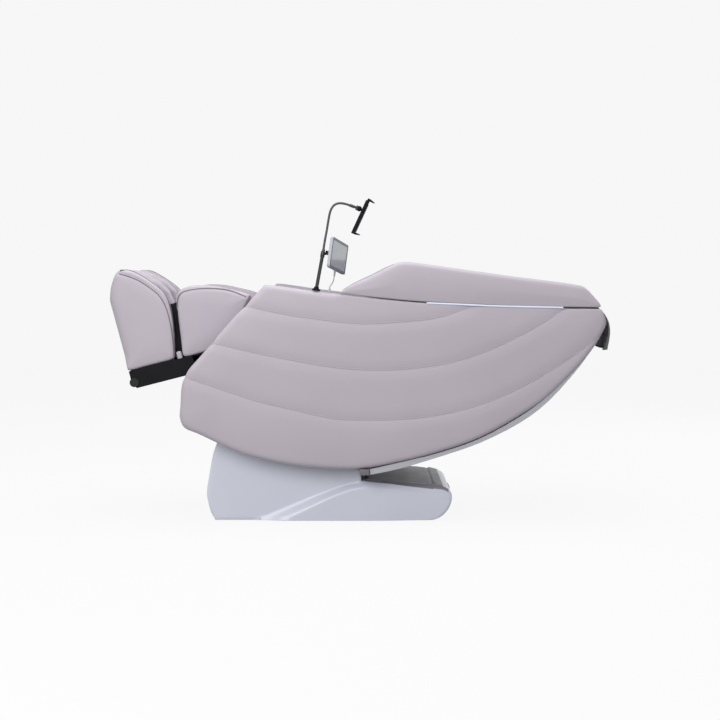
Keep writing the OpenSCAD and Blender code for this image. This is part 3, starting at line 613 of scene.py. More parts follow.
# %% Metals, paint, glass and light
frame_paint = finish("frame_paint", linear(52, 54, 58), (0.42, 0.55), grain=1100.0, strength=0.35,
                     height=0.0004, worn=0.6)
steel = finish("steel", (0.56, 0.57, 0.60), (0.22, 0.34), brush, strength=0.12, worn=0.3, Metallic=1.0)
zinc = finish("zinc", (0.50, 0.51, 0.52), (0.34, 0.5), spread=0.12, drift_scale=30.0, Metallic=1.0)
hose_metal = finish("hose_metal", linear(74, 74, 78), (0.3, 0.4), brush, strength=0.1, height=0.0001,
                    Metallic=0.7)
pole_black = finish("pole_black", linear(30, 30, 33), (0.28, 0.38), strength=0.08, worn=0.5,
                    Coat_Weight=0.3)
motor_black = finish("motor_black", linear(44, 44, 48), (0.45, 0.6), strength=0.3, height=0.0004,
                     worn=0.4)
board_green = finish("board_green", linear(22, 86, 46), (0.3, 0.42), grain=400.0, height=0.0003,
                     spread=0.2, drift_scale=60.0)
screen_glass = finish("screen_glass", linear(160, 168, 176), (0.10, 0.16), grain=60.0, strength=0.02,
                      spread=0.03, drift_scale=9.0, Coat_Weight=0.6, Coat_Roughness=0.05)
lit_bar = finish("lit_bar", linear(222, 230, 246), (0.3, 0.36), strength=0.03, height=0.0001,
                 spread=0.01, Emission_Color=(*linear(226, 234, 250), 1), Emission_Strength=0.16)
print(len(bpy.data.materials), "materials")

hand_over(cable, "controller_cable", None, cable_sheath, ["tablet_cable"])
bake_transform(cable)

# %% [markdown]
# ## Padded leather panels
# A side panel is a board with foam on it, and leather pulled over the foam's rounded rim. It
# could be a beveled box, but its outline is one long curve. So a plain grid is laid inside the
# outline, its open edge is pulled outwards and down over the rim ring by ring, a subdivision
# surface rounds it all, and the last ring is drawn back to the board.


# %% Outlines
def to_line(points, line):
    """Distance from 2D points to a polyline, and the closest places on it."""
    best = np.full(len(points), 1e9)
    place = np.zeros_like(points)
    for a, b in zip(line[:-1], line[1:]):
        d = b - a
        t = np.clip(((points - a) @ d) / (d @ d), 0, 1)
        q = a + t[:, None] * d
        far = np.linalg.norm(points - q, axis=1)
        nearer = far < best
        best[nearer] = far[nearer]
        place[nearer] = q[nearer]
    return best, place


def outward(loop):
    """Unit normals that point out of a closed outline, whichever way it runs."""
    ahead = np.roll(loop, -1, 0) - np.roll(loop, 1, 0)
    normal = np.stack([ahead[:, 1], -ahead[:, 0]], 1)
    normal /= np.linalg.norm(normal, axis=1)[:, None]
    x, z = loop.T
    area = np.sum(x * np.roll(z, -1) - np.roll(x, -1) * z)
    return normal if area > 0 else -normal


def shrink(loop, distance, step=0.002):
    """The outline moved inwards in small steps, eased along itself so that it never crosses."""
    ring = loop.copy()
    distance = np.broadcast_to(distance, len(loop))[:, None]
    count = max(1, int(math.ceil(distance.max() / step)))
    for _ in range(count):
        ring = ring - outward(ring) * distance / count
        ring = 0.7 * ring + 0.15 * (np.roll(ring, 1, 0) + np.roll(ring, -1, 0))
    return ring


def panel_loop(low, high, columns, rows):
    """The outline as one loop of nearly even steps: lower side, rear, upper side, front."""
    front = (low[:1] + high[:1]) / 2
    rear = (low[-1:] + high[-1:]) / 2
    under = np.concatenate([front, low, rear])
    over = np.concatenate([front, high, rear])
    half = rows // 2
    reach = half * (length_of(under) + length_of(over)) / (2 * columns + 2 * rows)
    low_side = walk(under, reach, -reach, columns + 1)
    high_side = walk(over, reach, -reach, columns + 1)
    rear_low = walk(under[::-1], 0, reach, half + 1)[::-1]
    rear_high = walk(over[::-1], 0, reach, half + 1)
    front_low = walk(under, 0, reach, half + 1)
    front_high = walk(over, 0, reach, half + 1)[::-1]
    return np.concatenate([low_side[:-1], rear_low[:-1], rear_high[:-1], high_side[:0:-1],
                           front_high[:-1], front_low[:-1]])


def relaxed_grid(loop, columns, rows, rounds=400):
    """A grid spanned over the loop, with each inner point moved to the middle of its neighbours."""
    low = loop[:columns + 1]
    rear = loop[columns:columns + rows + 1]
    high = loop[columns + rows:2 * columns + rows + 1][::-1]
    front = np.concatenate([loop[2 * columns + rows:], loop[:1]])[::-1]
    u = np.linspace(0, 1, columns + 1)[None, :, None]
    v = np.linspace(0, 1, rows + 1)[:, None, None]
    grid = ((1 - v) * low[None] + v * high[None] + (1 - u) * front[:, None] + u * rear[:, None]
            - (1 - u) * (1 - v) * low[0] - u * (1 - v) * low[-1] - (1 - u) * v * high[0]
            - u * v * high[-1])
    for _ in range(rounds):
        grid[1:-1, 1:-1] = (grid[:-2, 1:-1] + grid[2:, 1:-1] + grid[1:-1, :-2]
                            + grid[1:-1, 2:]) / 4
    return grid


print("outline tools ready")

# %% Open edges
RIM_ANGLES = (66, 44, 22, 0)


def extrude_open_edge(piece):
    """Extrude the open edge once, and give its new vertices."""
    pick(piece)
    bpy.ops.object.mode_set(mode="EDIT")
    bpy.ops.mesh.select_all(action="DESELECT")
    bpy.ops.mesh.select_non_manifold(extend=False, use_wire=False, use_multi_face=False,
                                     use_non_contiguous=False, use_verts=False)
    bpy.ops.mesh.extrude_edges_move()
    bpy.ops.object.mode_set(mode="OBJECT")
    return [vertex for vertex in piece.data.vertices if vertex.select]


def pull_open_edge(piece, places, targets):
    """Extrude the open edge once, and carry the point at each place to its target."""
    for vertex in extrude_open_edge(piece):
        vertex.co = targets[np.argmin(np.sum((places - np.array(vertex.co)) ** 2, axis=1))]


def pull_rim(piece, loop, inner, y_face, radius, depth):
    """Pull the open edge over a rounded rim, ring by ring, out to the full outline."""
    ring = at_depth(inner, y_face)
    for angle in RIM_ANGLES:
        turn = math.radians(angle)
        flat = shrink(loop, radius * (1 - math.cos(turn))) if angle else loop
        target = at_depth(flat, y_face + depth * (1 - math.sin(turn)))
        pull_open_edge(piece, ring, target)
        ring = target
    return ring


def close_back(piece, y_back):
    """Draw the open edge back to the board, close it with one flat face and shade it all."""
    for vertex in extrude_open_edge(piece):
        vertex.co.y = y_back
    bpy.ops.object.mode_set(mode="EDIT")
    bpy.ops.mesh.edge_face_add()
    bpy.ops.object.mode_set(mode="OBJECT")
    return smooth(face_out(piece), 50)


def near_out(piece):
    """Turn an open skin's faces so that its broad side looks to the chair's near side."""
    face_out(piece)
    total = sum(polygon.normal.y * polygon.area for polygon in piece.data.polygons)
    if total > 0:
        edit_all(piece, (bpy.ops.mesh.flip_normals, {}))
    return piece


print("edge tools ready")

# %% A panel's leather
TIGHT_WITHIN = 0.012
TIGHT_EASE = 0.05


def rim_along(loop, wide, narrow, line):
    """The rim's radius at each outline point: narrow near a line, wide away from it."""
    far = to_line(loop, line)[0]
    return narrow + (wide - narrow) * ease(far, TIGHT_WITHIN, TIGHT_WITHIN + TIGHT_EASE)


def leather_face(name, low, high, y_out, rim, crown, cells, tight, fullness):
    """The near face of a panel with its rounded rim, as an open skin. Along the line `tight`
    the rim is drawn tighter, to the second of the two radii in `rim`."""
    columns, rows = cells
    loop = panel_loop(low, high, columns, rows)
    radius = rim_along(loop, *rim, tight)
    inner = shrink(loop, radius)
    flat = relaxed_grid(inner, columns, rows).reshape(-1, 2)
    piece = add_new(bpy.ops.mesh.primitive_grid_add, x_subdivisions=columns, y_subdivisions=rows, size=1)
    piece.name = name
    far = to_line(flat, np.concatenate([inner, inner[:1]]))[0]
    set_points(piece, at_depth(flat, y_out + crown * (1 - np.clip(far / fullness, 0, 1)) ** 2))
    pull_rim(piece, loop, inner, y_out + crown, radius, radius)
    near_out(piece)
    return modify(piece, "SUBSURF", levels=1, render_levels=1)


print("panel tools ready")

# %% [markdown]
# ## Seams
# The side panels are sewn from four strips of leather. Each joint is a fine groove between two
# rows of stitches, in a shallow valley that the thread pulls into the foam. Faces near a seam are
# subdivided first, so that the groove is real geometry, and each stitch is a small rounded bar.

# %% Grooves
STITCH_OFFSET = 0.0055
SEAM_REACHES = (0.016, 0.0095)
SNAP_WITHIN = 0.0011
GROOVE_WIDTH = 0.0015
DENT_DEPTH = 0.0008
DENT_WIDTH = 0.0018


def lengthened(line, extra):
    """The line run on straight at both ends."""
    first = line[0] - line[1]
    last = line[-1] - line[-2]
    return np.concatenate([[line[0] + first / np.linalg.norm(first) * extra], line,
                           [line[-1] + last / np.linalg.norm(last) * extra]])


def refine_near(piece, lines, reaches):
    """Subdivide the faces whose centre is near one of the side-view lines, once for each reach."""
    for reach in reaches:
        polygons = piece.data.polygons
        centres = np.empty(len(polygons) * 3)
        polygons.foreach_get("center", centres)
        centres = centres.reshape(-1, 3)[:, (0, 2)]
        near = np.zeros(len(polygons), bool)
        for line in lines:
            near |= to_line(centres, line)[0] < reach
        pick(piece)
        bpy.ops.object.mode_set(mode="EDIT")
        bpy.ops.mesh.select_mode(type="FACE")
        bpy.ops.mesh.select_all(action="DESELECT")
        bpy.ops.object.mode_set(mode="OBJECT")
        polygons.foreach_set("select", near)
        bpy.ops.object.mode_set(mode="EDIT")
        bpy.ops.mesh.subdivide(number_cuts=1)
        bpy.ops.mesh.select_mode(type="VERT")
        bpy.ops.object.mode_set(mode="OBJECT")


def dip(far, width):
    """A smooth bell that falls from 1 over about a width."""
    return np.exp(-(far / width) ** 2)


def sew(piece, lines, groove, valley, valley_width):
    """Press seams into a skin: snap points to each line, then sink groove, dents and valley."""
    refine_near(piece, lines, SEAM_REACHES)
    points = get_points(piece)
    sink = np.zeros(len(points))
    for line in lines:
        far, place = to_line(points[:, (0, 2)], line)
        snapped = far < SNAP_WITHIN
        points[np.ix_(snapped, (0, 2))] = place[snapped]
        far[snapped] = 0
        sink += groove * dip(far, GROOVE_WIDTH) + valley * dip(far, valley_width)
        sink += DENT_DEPTH * dip(far - STITCH_OFFSET, DENT_WIDTH)
    set_points(piece, points - read_vertices(piece, "normal") * sink[:, None])


print("seam tools ready")

# %% Stitches
STITCH_PITCH = 0.0082
STITCH_SIZE = (0.0032, 0.00075, 0.00060)
STITCH_FACING = -0.35
NEAR_SIDE = -1.0


def beside(line, offset):
    """A 2D line moved sideways."""
    ahead = np.gradient(line, axis=0)
    side = np.stack([-ahead[:, 1], ahead[:, 0]], 1)
    return line + side / np.linalg.norm(side, axis=1)[:, None] * offset


def stitches(name, places, along, normals):
    """One mesh of many small rounded bars, each at its place, along its line."""
    piece = add_new(bpy.ops.mesh.primitive_uv_sphere_add, segments=6, ring_count=5, radius=1)
    bar = get_points(piece)[:, (2, 0, 1)] * np.array(STITCH_SIZE)
    faces = [tuple(p.vertices) for p in piece.data.polygons]
    across = np.cross(normals, along)
    everything = (places[:, None, :] + bar[None, :, :1] * along[:, None, :]
                  + bar[None, :, 1:2] * across[:, None, :] + bar[None, :, 2:] * normals[:, None, :])
    count = len(bar)
    all_faces = [tuple(v + k * count for v in face) for k in range(len(places)) for face in faces]
    piece.data.clear_geometry()
    piece.data.from_pydata(everything.reshape(-1, 3).tolist(), [], all_faces)
    piece.name = name
    return smooth(face_out(piece), 60)


def sewn_rows(name, skin, rows, aim):
    """Stitches along rows of start points, laid on a skin by looking from each point at it."""
    tree = skin_tree(skin)
    laid = []
    for row in rows:
        hits = [tree.ray_cast(Vector(start), aim)[:2] for start in row]
        for (before, _), (spot, normal), (after, _) in zip(hits, hits[1:], hits[2:]):
            if spot is None or before is None or after is None:
                continue
            ahead = (after - before).normalized()
            if normal.dot(aim) < STITCH_FACING and ahead.length > 0.5:
                square = (normal - ahead * normal.dot(ahead)).normalized()
                laid.append((spot[:], ahead[:], square[:]))
    return stitches(name, *np.array(laid).transpose(1, 0, 2))


print("stitch tools ready")

# %% [markdown]
# ## Side panels
# The largest surfaces of the chair. Their outline sweeps from the raised front corner round the
# belly to the pointed head end. Three seams run the long way, and meet the edges at both ends.

# %% Side panel outline and seams
SIDE_LOW = [[-661, 405], [-644, 364], [-585, 337], [-438, 270], [-291, 233], [-144, 214], [3, 211],
            [150, 237], [297, 274], [444, 326], [590, 407], [699, 484], [813, 599], [885, 696],
            [906, 752]]
SPLIT_REAR = [[76, 836], [240, 822], [368, 815], [514, 808], [744, 803], [886, 800]]
SIDE_HIGH = [[-657, 448], [-643, 550], [-571, 639], [-464, 763], [-387, 844], [-352, 880],
             [-330, 888], [-172, 866], [-63, 853]] + SPLIT_REAR
SEAM_UPPER = [[-413, 811], [-289, 782], [-143, 760], [3, 745], [149, 751], [295, 769], [390, 804]]
SEAM_MIDDLE = [[-538, 676], [-363, 635], [-217, 606], [-70, 582], [76, 575], [223, 584], [369, 611],
               [515, 666], [660, 741], [744, 800]]
SEAM_LOWER = [[-642, 551], [-510, 507], [-364, 459], [-217, 424], [-89, 396], [3, 392], [150, 394],
              [297, 411], [443, 448], [589, 510], [735, 595], [862, 687]]
PANEL_RIM = (0.020, 0.006)
PANEL_CROWN = 0.005
PANEL_FULLNESS = 0.11
SEAM_RUN_ON = 0.04
side_seams = [spline(mm(seam), 8) for seam in (SEAM_UPPER, SEAM_MIDDLE, SEAM_LOWER)]
split_low = spline(mm([[-40, 850]] + SPLIT_REAR), 4)
side_left = leather_face("side_left", spline(mm(SIDE_LOW), 9), spline(mm(SIDE_HIGH), 9), -PANEL_OUT,
                         PANEL_RIM, PANEL_CROWN, (136, 44), split_low, PANEL_FULLNESS)
sew(side_left, [lengthened(seam, SEAM_RUN_ON) for seam in side_seams], groove=0.0020, valley=0.0026,
    valley_width=0.022)
stitch_lines = [beside(seam, offset) for seam in side_seams for offset in (-STITCH_OFFSET, STITCH_OFFSET)]
side_stitches = sewn_rows("side_stitches", side_left,
                          [at_depth(even(line, STITCH_PITCH), NEAR_SIDE) for line in stitch_lines],
                          Vector((0, 1, 0)))
close_back(side_left, -PANEL_IN)
both_sides(side_left, "side_leather_{}", "tub", leather, "side_panel_{}")
both_sides(side_stitches, "side_stitches_{}", "tub", thread)
print("side panel faces:", len(side_left.data.polygons), "stitch faces:", len(side_stitches.data.polygons))

# %% [markdown]
# ## Wings and the light between
# The wing is the bolster beside the sitter's shoulder. It is made as the side panel is, and it
# closes on it along one long line, where both rims are drawn tight. A thin lit bar lies in that
# line: a round rod, half sunk between the two leathers.

# %% Wings
WING_LOW = [[-72, 858], [-36, 854], [3, 849], [76, 841], [192, 830], [294, 824], [440, 817],
            [590, 811], [744, 808], [882, 806]]
WING_HIGH = [[-70, 862], [-18, 893], [54, 927], [126, 963], [172, 972], [294, 957], [557, 920],
             [776, 892], [832, 873], [884, 812]]
WING_IN = 0.334
WING_OUT = 0.388
WING_RIM = (0.018, 0.005)
WING_CROWN = 0.004
WING_FULLNESS = 0.05
wing_low = spline(mm(WING_LOW), 6)
wing_left = leather_face("wing_left_skin", wing_low, spline(mm(WING_HIGH), 6), -WING_OUT, WING_RIM,
                         WING_CROWN, (96, 18), wing_low, WING_FULLNESS)
close_back(wing_left, -WING_IN)
both_sides(wing_left, "wing_leather_{}", "tub", leather, "wing_{}")
print("wing faces:", len(wing_left.data.polygons))

# %% Lit bars, and a dark cord behind them as painted shade in the crevice
LIGHT_LINE = [[246, 822.2], [368, 817.0], [514, 810.6], [744, 805.4]]
LIGHT_Y = -0.3835
LIGHT_RADIUS = 0.0032
GAP_LINE = [[20, 849], [76, 840.5], [192, 829], [294, 821.5], [440, 814.5], [590, 809], [744, 805.5],
            [874, 803]]
GAP_Y = -0.3765
GAP_RADIUS = 0.0028


def side_tube(name, line, y, radius):
    """A round tube along a side-view line at one depth."""
    return tube(at_depth(line, y), radius, name)


light_bar = side_tube("light_bar", spline(mm(LIGHT_LINE), 8), LIGHT_Y, LIGHT_RADIUS)
# Painted shade: the dark cord fills the crevice between wing and side panel and stands for its shade line.
gap_filler = side_tube("gap_filler", spline(mm(GAP_LINE), 8), GAP_Y, GAP_RADIUS)
both_sides(light_bar, "light_bar_{}", "tub", lit_bar, "light_strips")
both_sides(gap_filler, "gap_filler_{}", "tub", dark_leather)
print("light bars", round(length_of(mm(LIGHT_LINE)), 3), "m long")

# %% [markdown]
# ## Flap behind the head
# A strip of darker leather hangs from the top of the back and covers the hinge of the head shell.
# It is one sheet, held along its upper edge and free below. A grid is laid along its drop line,
# its side edges are curled in, slow waves grow towards the free edge, and a Solidify modifier
# gives it the leather's thickness. A rolled hem stiffens the free edge.

# %% The hanging sheet
FLAP_DROP = [[846, 828], [884, 806], [910, 784], [929, 752], [935, 718], [932, 684], [924, 646]]
FLAP_HALF = 0.300
FLAP_CURL = 0.018
FLAP_CURL_FROM = 0.86
FLAP_HELD = 0.25
FLAP_WAVE = 0.0025
FLAP_THICK = 0.0026
HEM_RADIUS = 0.0030
FLAP_COLUMNS = 96
FLAP_ROWS = 40
drop_line = walk(spline(mm(FLAP_DROP), 8), 0, 0, FLAP_ROWS + 1)
flap = add_new(bpy.ops.mesh.primitive_grid_add, x_subdivisions=FLAP_COLUMNS, y_subdivisions=FLAP_ROWS,
               size=1)
grid = get_points(flap)
across = 2 * grid[:, 0]
down = grid[:, 1] + 0.5
x, z = (np.interp(down * FLAP_ROWS, np.arange(FLAP_ROWS + 1), drop_line[:, k]) for k in (0, 1))
free = np.clip((down - FLAP_HELD) / (1 - FLAP_HELD), 0, 1) ** 1.5
curl = FLAP_CURL * np.clip((np.abs(across) - FLAP_CURL_FROM) / (1 - FLAP_CURL_FROM), 0, 1) ** 2
wave = FLAP_WAVE * (np.cos(2.5 * math.pi * across) + 0.5 * np.cos(7 * math.pi * across + 0.6))
x += wave * free - curl * (0.3 + 0.7 * free)
places = np.stack([x, across * FLAP_HALF, z], 1)
set_points(flap, places)
free_edge = places[down > 1 - 0.5 / FLAP_ROWS]
free_edge = free_edge[np.argsort(free_edge[:, 1])]
modify(flap, "SOLIDIFY", thickness=FLAP_THICK, offset=0)
smooth(face_out(flap), 60)
hem = tube(free_edge + np.array([0, 0, HEM_RADIUS]), HEM_RADIUS, "flap_hem")
hand_over(flap, "head_flap_leather", "tub", flap_leather, ["head_flap"])
hand_over(hem, "head_flap_hem", "tub", flap_leather)
print("flap faces:", len(flap.data.polygons), "drop", round(length_of(drop_line), 3), "m")

# %% [markdown]
# ## Calf and foot panels
# Four smaller padded panels stand along the leg rest. Their near faces are bounded by a piping:
# a cord sewn into the seam where the face turns into the edge. The panels are made as the side
# panels are, in the leg rest's own side view, and the piping is a tube laid on the rim. The rim is
# tight along the lower line and the first few points of the upper one.

# %% Outlines of the leg rest
LEG_PANELS = {
    "foot": {
        "body": "foot_rest", "rim": (0.030, 0.011), "cells": (44, 24), "tight_high": 5,
        "low": [[126, 34], [146, 31], [170, 31], [196, 31], [224, 31], [252, 31], [286, 30], [309, 33]],
        "high": [[108, 112], [96, 196], [101, 270], [134, 324], [196, 386], [250, 403], [290, 356],
                 [310, 304]],
        "piping": [[127, 42], [118, 83], [108, 169], [110, 232], [123, 275], [147, 309], [181, 346],
                   [213, 370], [247, 391]]},
    "calf": {
        "body": "leg_rest", "rim": (0.016, 0.008), "cells": (44, 20), "tight_high": 0,
        "low": [[-200, 182], [-122, 96], [-58, 50], [-12, 32], [36, 29], [82, 29], [96, 39]],
        "high": [[-206, 192], [-158, 222], [-94, 254], [-36, 274], [12, 281], [50, 271], [69, 238]],
        "piping": [[95, 42], [89, 97], [76, 186], [64, 231], [46, 259], [14, 266], [-51, 258],
                   [-119, 236], [-158, 214], [-190, 190]]},
}
LEG_CROWN = 0.004
LEG_FULLNESS = 0.06
PIPING_RADIUS = 0.0027
PIPING_PROUD = 0.0004


def leg_line(points, steps=8):
    """A smooth side-view line given in the leg rest's frame, in millimetres."""
    return leg_view(spline(mm(points), steps))


# %% Panels and piping on both sides
for name, values in LEG_PANELS.items():
    low, high = values["low"], values["high"]
    tight = leg_view(mm(low[::-1] + high[:values["tight_high"]]))
    skin = leather_face(name + "_skin", leg_line(low, 6), leg_line(high, 6), -LEG_OUT, values["rim"],
                        LEG_CROWN, values["cells"], tight, LEG_FULLNESS)
    seam = leg_line(values["piping"])
    sew(skin, [seam], groove=0.0022, valley=0.0012, valley_width=0.008)
    tree = skin_tree(skin)
    spots = [tree.ray_cast(Vector((x, NEAR_SIDE, z)), Vector((0, 1, 0)))[0] for x, z in seam]
    route = [(spot.x, spot.y + PIPING_PROUD, spot.z) for spot in spots if spot is not None]
    cord = tube(route, PIPING_RADIUS, name + "_piping")
    close_back(skin, -LEG_IN)
    both_sides(skin, name + "_leather_{}", values["body"], leather, name + "_panel_{}")
    both_sides(cord, name + "_piping_{}", values["body"], welt_leather)
    print(name, "panel faces:", len(skin.data.polygons), "piping points:", len(route))

# %% [markdown]
# ## Wells for calves and feet
# Between the panels lie thick pads with a trough for each leg. Their construction solids have
# sharp edges, but foam under leather has none. A voxel remesh turns the solid into small even
# faces, and smoothing then rounds every edge by about its own radius.

# %% Soften a solid
WELL_VOXEL = 0.0055
WELL_ROUNDS = 9
SWELL_EASE = 0.06
WELLS = {"calf": {"body": "leg_rest", "above": 0.19, "amount": 0.010},
         "foot": {"body": "foot_rest", "above": 0.27, "amount": 0.009}}


def softened(node, voxel, rounds):
    """A remeshed and smoothed copy of a CAD solid."""
    piece = from_node(node, node + "_soft")
    modify(piece, "REMESH", mode="VOXEL", voxel_size=voxel)
    modify(piece, "SMOOTH", factor=0.6, iterations=rounds)
    return smooth(face_out(piece), 60)


def fuller(piece, above, amount, half):
    """Push the surface outwards above a height in the leg rest's frame, within a half width."""
    points = get_points(piece)
    up = local(ON_LEG.inverted(), points)[:, 2]
    share = np.clip((up - above) / SWELL_EASE, 0, 1)
    points += read_vertices(piece, "normal") * (amount * share)[:, None]
    points[:, 1] = np.clip(points[:, 1], -half, half)
    set_points(piece, points)


for name, values in WELLS.items():
    well = softened(name + "_wells", WELL_VOXEL, WELL_ROUNDS)
    fuller(well, values["above"], values["amount"], LEG_IN)
    hand_over(well, name + "_well_pads", values["body"], leather_band, [name + "_wells"])
    print(name, "well faces:", len(well.data.polygons))

# %% [markdown]
# ## Between calf and foot
# The foot unit slides out of the calf unit, so the slot between them is closed by a black pleated
# gusset on each side, which is gathered here and opens as the feet move out. A small leather tab
# covers its lower end.

# %% Gussets
GUSSET_LOW = [[88, 36], [124, 34]]
GUSSET_HIGH = [[64, 236], [102, 232]]
GUSSET_Y = 0.222
GUSSET_THICK = 0.0008
PLEATS = 3
PLEAT_DEPTH = 0.004
gusset = add_new(bpy.ops.mesh.primitive_grid_add, x_subdivisions=PLEATS * 8, y_subdivisions=12, size=1)
u, v = (get_points(gusset)[:, :2].T + 0.5)[:, :, None]
low, high = mm(GUSSET_LOW), mm(GUSSET_HIGH)
flat = (1 - v) * ((1 - u) * low[0] + u * low[1]) + v * ((1 - u) * high[0] + u * high[1])
fold = PLEAT_DEPTH * np.cos(2 * math.pi * PLEATS * u[:, 0])
set_points(gusset, at_depth(leg_view(flat), fold - GUSSET_Y))
modify(gusset, "SOLIDIFY", thickness=GUSSET_THICK, offset=0)
smooth(gusset, 60)
for piece in both_sides(gusset, "gusset_{}", None, gap_cloth):
    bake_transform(piece)
print("gusset faces:", len(gusset.data.polygons))

# %% Tabs, tray seals, and a dark cord as painted shade in the gap between a foot panel and its pad
TAB_SIZE = (0.020, 0.022, 0.034)
TAB_AT = [[107, 38]]
TAB_Y = -0.250
TAB_ROUNDING = 0.006
SEAL_LINE = [[128, 29.5], [300, 29.5]]
SEAL_RADIUS = 0.0036
JOINT_LINE = [[106, 130], [97, 196], [102, 269], [135, 323], [196, 385], [240, 401]]
JOINT_RADIUS = 0.0032
SLOT_Y = -0.252
tab = rounded_box(at_depth(leg_view(mm(TAB_AT)), TAB_Y)[0], TAB_SIZE, TAB_ROUNDING, (0, -LEG_SLOPE, 0))
modify(tab, "SUBSURF", levels=1, render_levels=1)
smooth(face_out(tab), 60)
seal = side_tube("tray_seal", leg_view(mm(SEAL_LINE)), SLOT_Y, SEAL_RADIUS)
# Painted shade: the dark cord sits in the gap along the foot panel's upper edge and stands for the shade
# there.
joint_cord = side_tube("joint_cord", leg_line(JOINT_LINE), SLOT_Y, JOINT_RADIUS)
both_sides(tab, "slot_tab_{}", "leg_rest", leather_band)
both_sides(seal, "tray_seal_{}", "foot_rest", rubber)
both_sides(joint_cord, "foot_joint_{}", "foot_rest", dark_leather)
print("tab, seal and joint made")

# %% [markdown]
# ## Cushions
# Seat, back, pillow and shoulder pads are foam in sewn leather. Modelling every bulge by hand
# would look stiff. So each starts from its plain solid, is remeshed into small even faces, and
# the cloth solver blows its cover up from inside while its flat base stays held. The sewn
# channels are pressed in afterwards, and a welt runs round the edge where the sides meet the top.

# %% Blow a cover up
SIM_FRAMES = 20
SIM_PRESSURE = 4.0


def swollen(piece, held, cap):
    """Blow a cover up by cloth simulation, with no point moved further than the cap."""
    start = get_points(piece)
    group = piece.vertex_groups.new(name="held")
    group.add([int(i) for i in np.flatnonzero(held)], 1.0, "REPLACE")
    pick(piece)
    cloth = piece.modifiers.new("Cloth", "CLOTH")
    cloth.settings.quality = 5
    cloth.settings.use_pressure = True
    cloth.settings.uniform_pressure_force = SIM_PRESSURE
    cloth.settings.vertex_group_mass = "held"
    cloth.settings.effector_weights.gravity = 0
    cloth.point_cache.frame_start = 1
    cloth.point_cache.frame_end = SIM_FRAMES
    for number in range(1, SIM_FRAMES + 1):
        scene.frame_set(number)
    end = get_points(piece.evaluated_get(bpy.context.evaluated_depsgraph_get()))
    piece.modifiers.remove(cloth)
    scene.frame_set(1)
    move = end - start
    far = np.linalg.norm(move, axis=1)
    set_points(piece, start + move * np.minimum(1, cap / np.maximum(far, 1e-9))[:, None])
    print(piece.name, "swelled by up to", round(float(min(far.max(), cap)) * 1000, 1), "mm")


# %% Shape a cushion and its channels
BASE_HELD = 0.009
DRAWN_IN = 0.004
CENTRE_SHARE = 0.4
SIDE_SLACK = 0.001
CHANNEL_DEPTH = 0.008
CHANNEL_WIDTH = 0.006
CHANNEL_VALLEY = 0.022
CHANNELS_FROM = 0.35
CHANNELS_OVER = 0.4


def cushion(piece, place, size, cap, channels=()):
    """Fill a remeshed solid out. Its own frame has x along, y across and z up from its base."""
    inside = place.inverted()
    points = local(inside, get_points(piece))
    held = points[:, 2] < BASE_HELD
    inward = points - np.array([0, 0, size[2] * CENTRE_SHARE])
    inward /= np.linalg.norm(inward, axis=1)[:, None]
    points[~held] -= inward[~held] * DRAWN_IN
    set_points(piece, local(place, points))
    swollen(piece, held, cap)
    points = local(inside, get_points(piece))
    limit = size[1] / 2 + SIDE_SLACK
    points[:, 1] = np.clip(points[:, 1], -limit, limit)
    high = np.clip((points[:, 2] / size[2] - CHANNELS_FROM) / CHANNELS_OVER, 0, 1)
    for line in channels:
        away = points[:, 0] - line * size[0] / 2
        points[:, 2] -= CHANNEL_DEPTH * high * (dip(away, CHANNEL_WIDTH) + 0.5 * dip(away, CHANNEL_VALLEY))
    set_points(piece, local(place, points))
    modify(piece, "SUBSURF", levels=1, render_levels=1)
    return smooth(piece, 60)


# %% Welts and stitched channels
WELT_RADIUS = 0.0032
WELT_STEP = 0.012
LOOK_FROM = 1.3
LOOK_TO = 0.6
STITCH_BESIDE = 0.010
STITCHED_SHARE = 0.44


def welt(piece, name, place, size, height):
    """A sewn cord round a cushion at one height, laid on by looking inwards from outside."""
    tree = skin_tree(piece)
    x, y = size[0] / 2, size[1] / 2
    ring = even(np.array([[-x, -y], [x, -y], [x, y], [-x, y], [-x, -y]]), WELT_STEP)[:-1]
    spots = []
    for point in ring:
        start, aim = (place @ Vector((*(point * share), height)) for share in (LOOK_FROM, LOOK_TO))
        hit = tree.ray_cast(start, (aim - start).normalized())[0]
        if hit is not None:
            spots.append(hit)
    line = np.array(spots)
    for _ in range(3):
        line = 0.5 * line + 0.25 * (np.roll(line, 1, 0) + np.roll(line, -1, 0))
    return tube(line, WELT_RADIUS, name, closed=True)


def stitched_channels(piece, name, place, size, channels):
    """Two rows of stitches along each sewn channel, laid on by looking down on the cushion."""
    down = (place.to_3x3() @ Vector((0, 0, -1))).normalized()
    reach = STITCHED_SHARE * size[1]
    rows = [[place @ Vector((line * size[0] / 2 + offset, y, 2 * size[2]))
             for y in np.arange(-reach, reach, STITCH_PITCH)]
            for line in channels for offset in (-STITCH_BESIDE, STITCH_BESIDE)]
    return sewn_rows(name, piece, rows, down)


print("cushion tools ready")

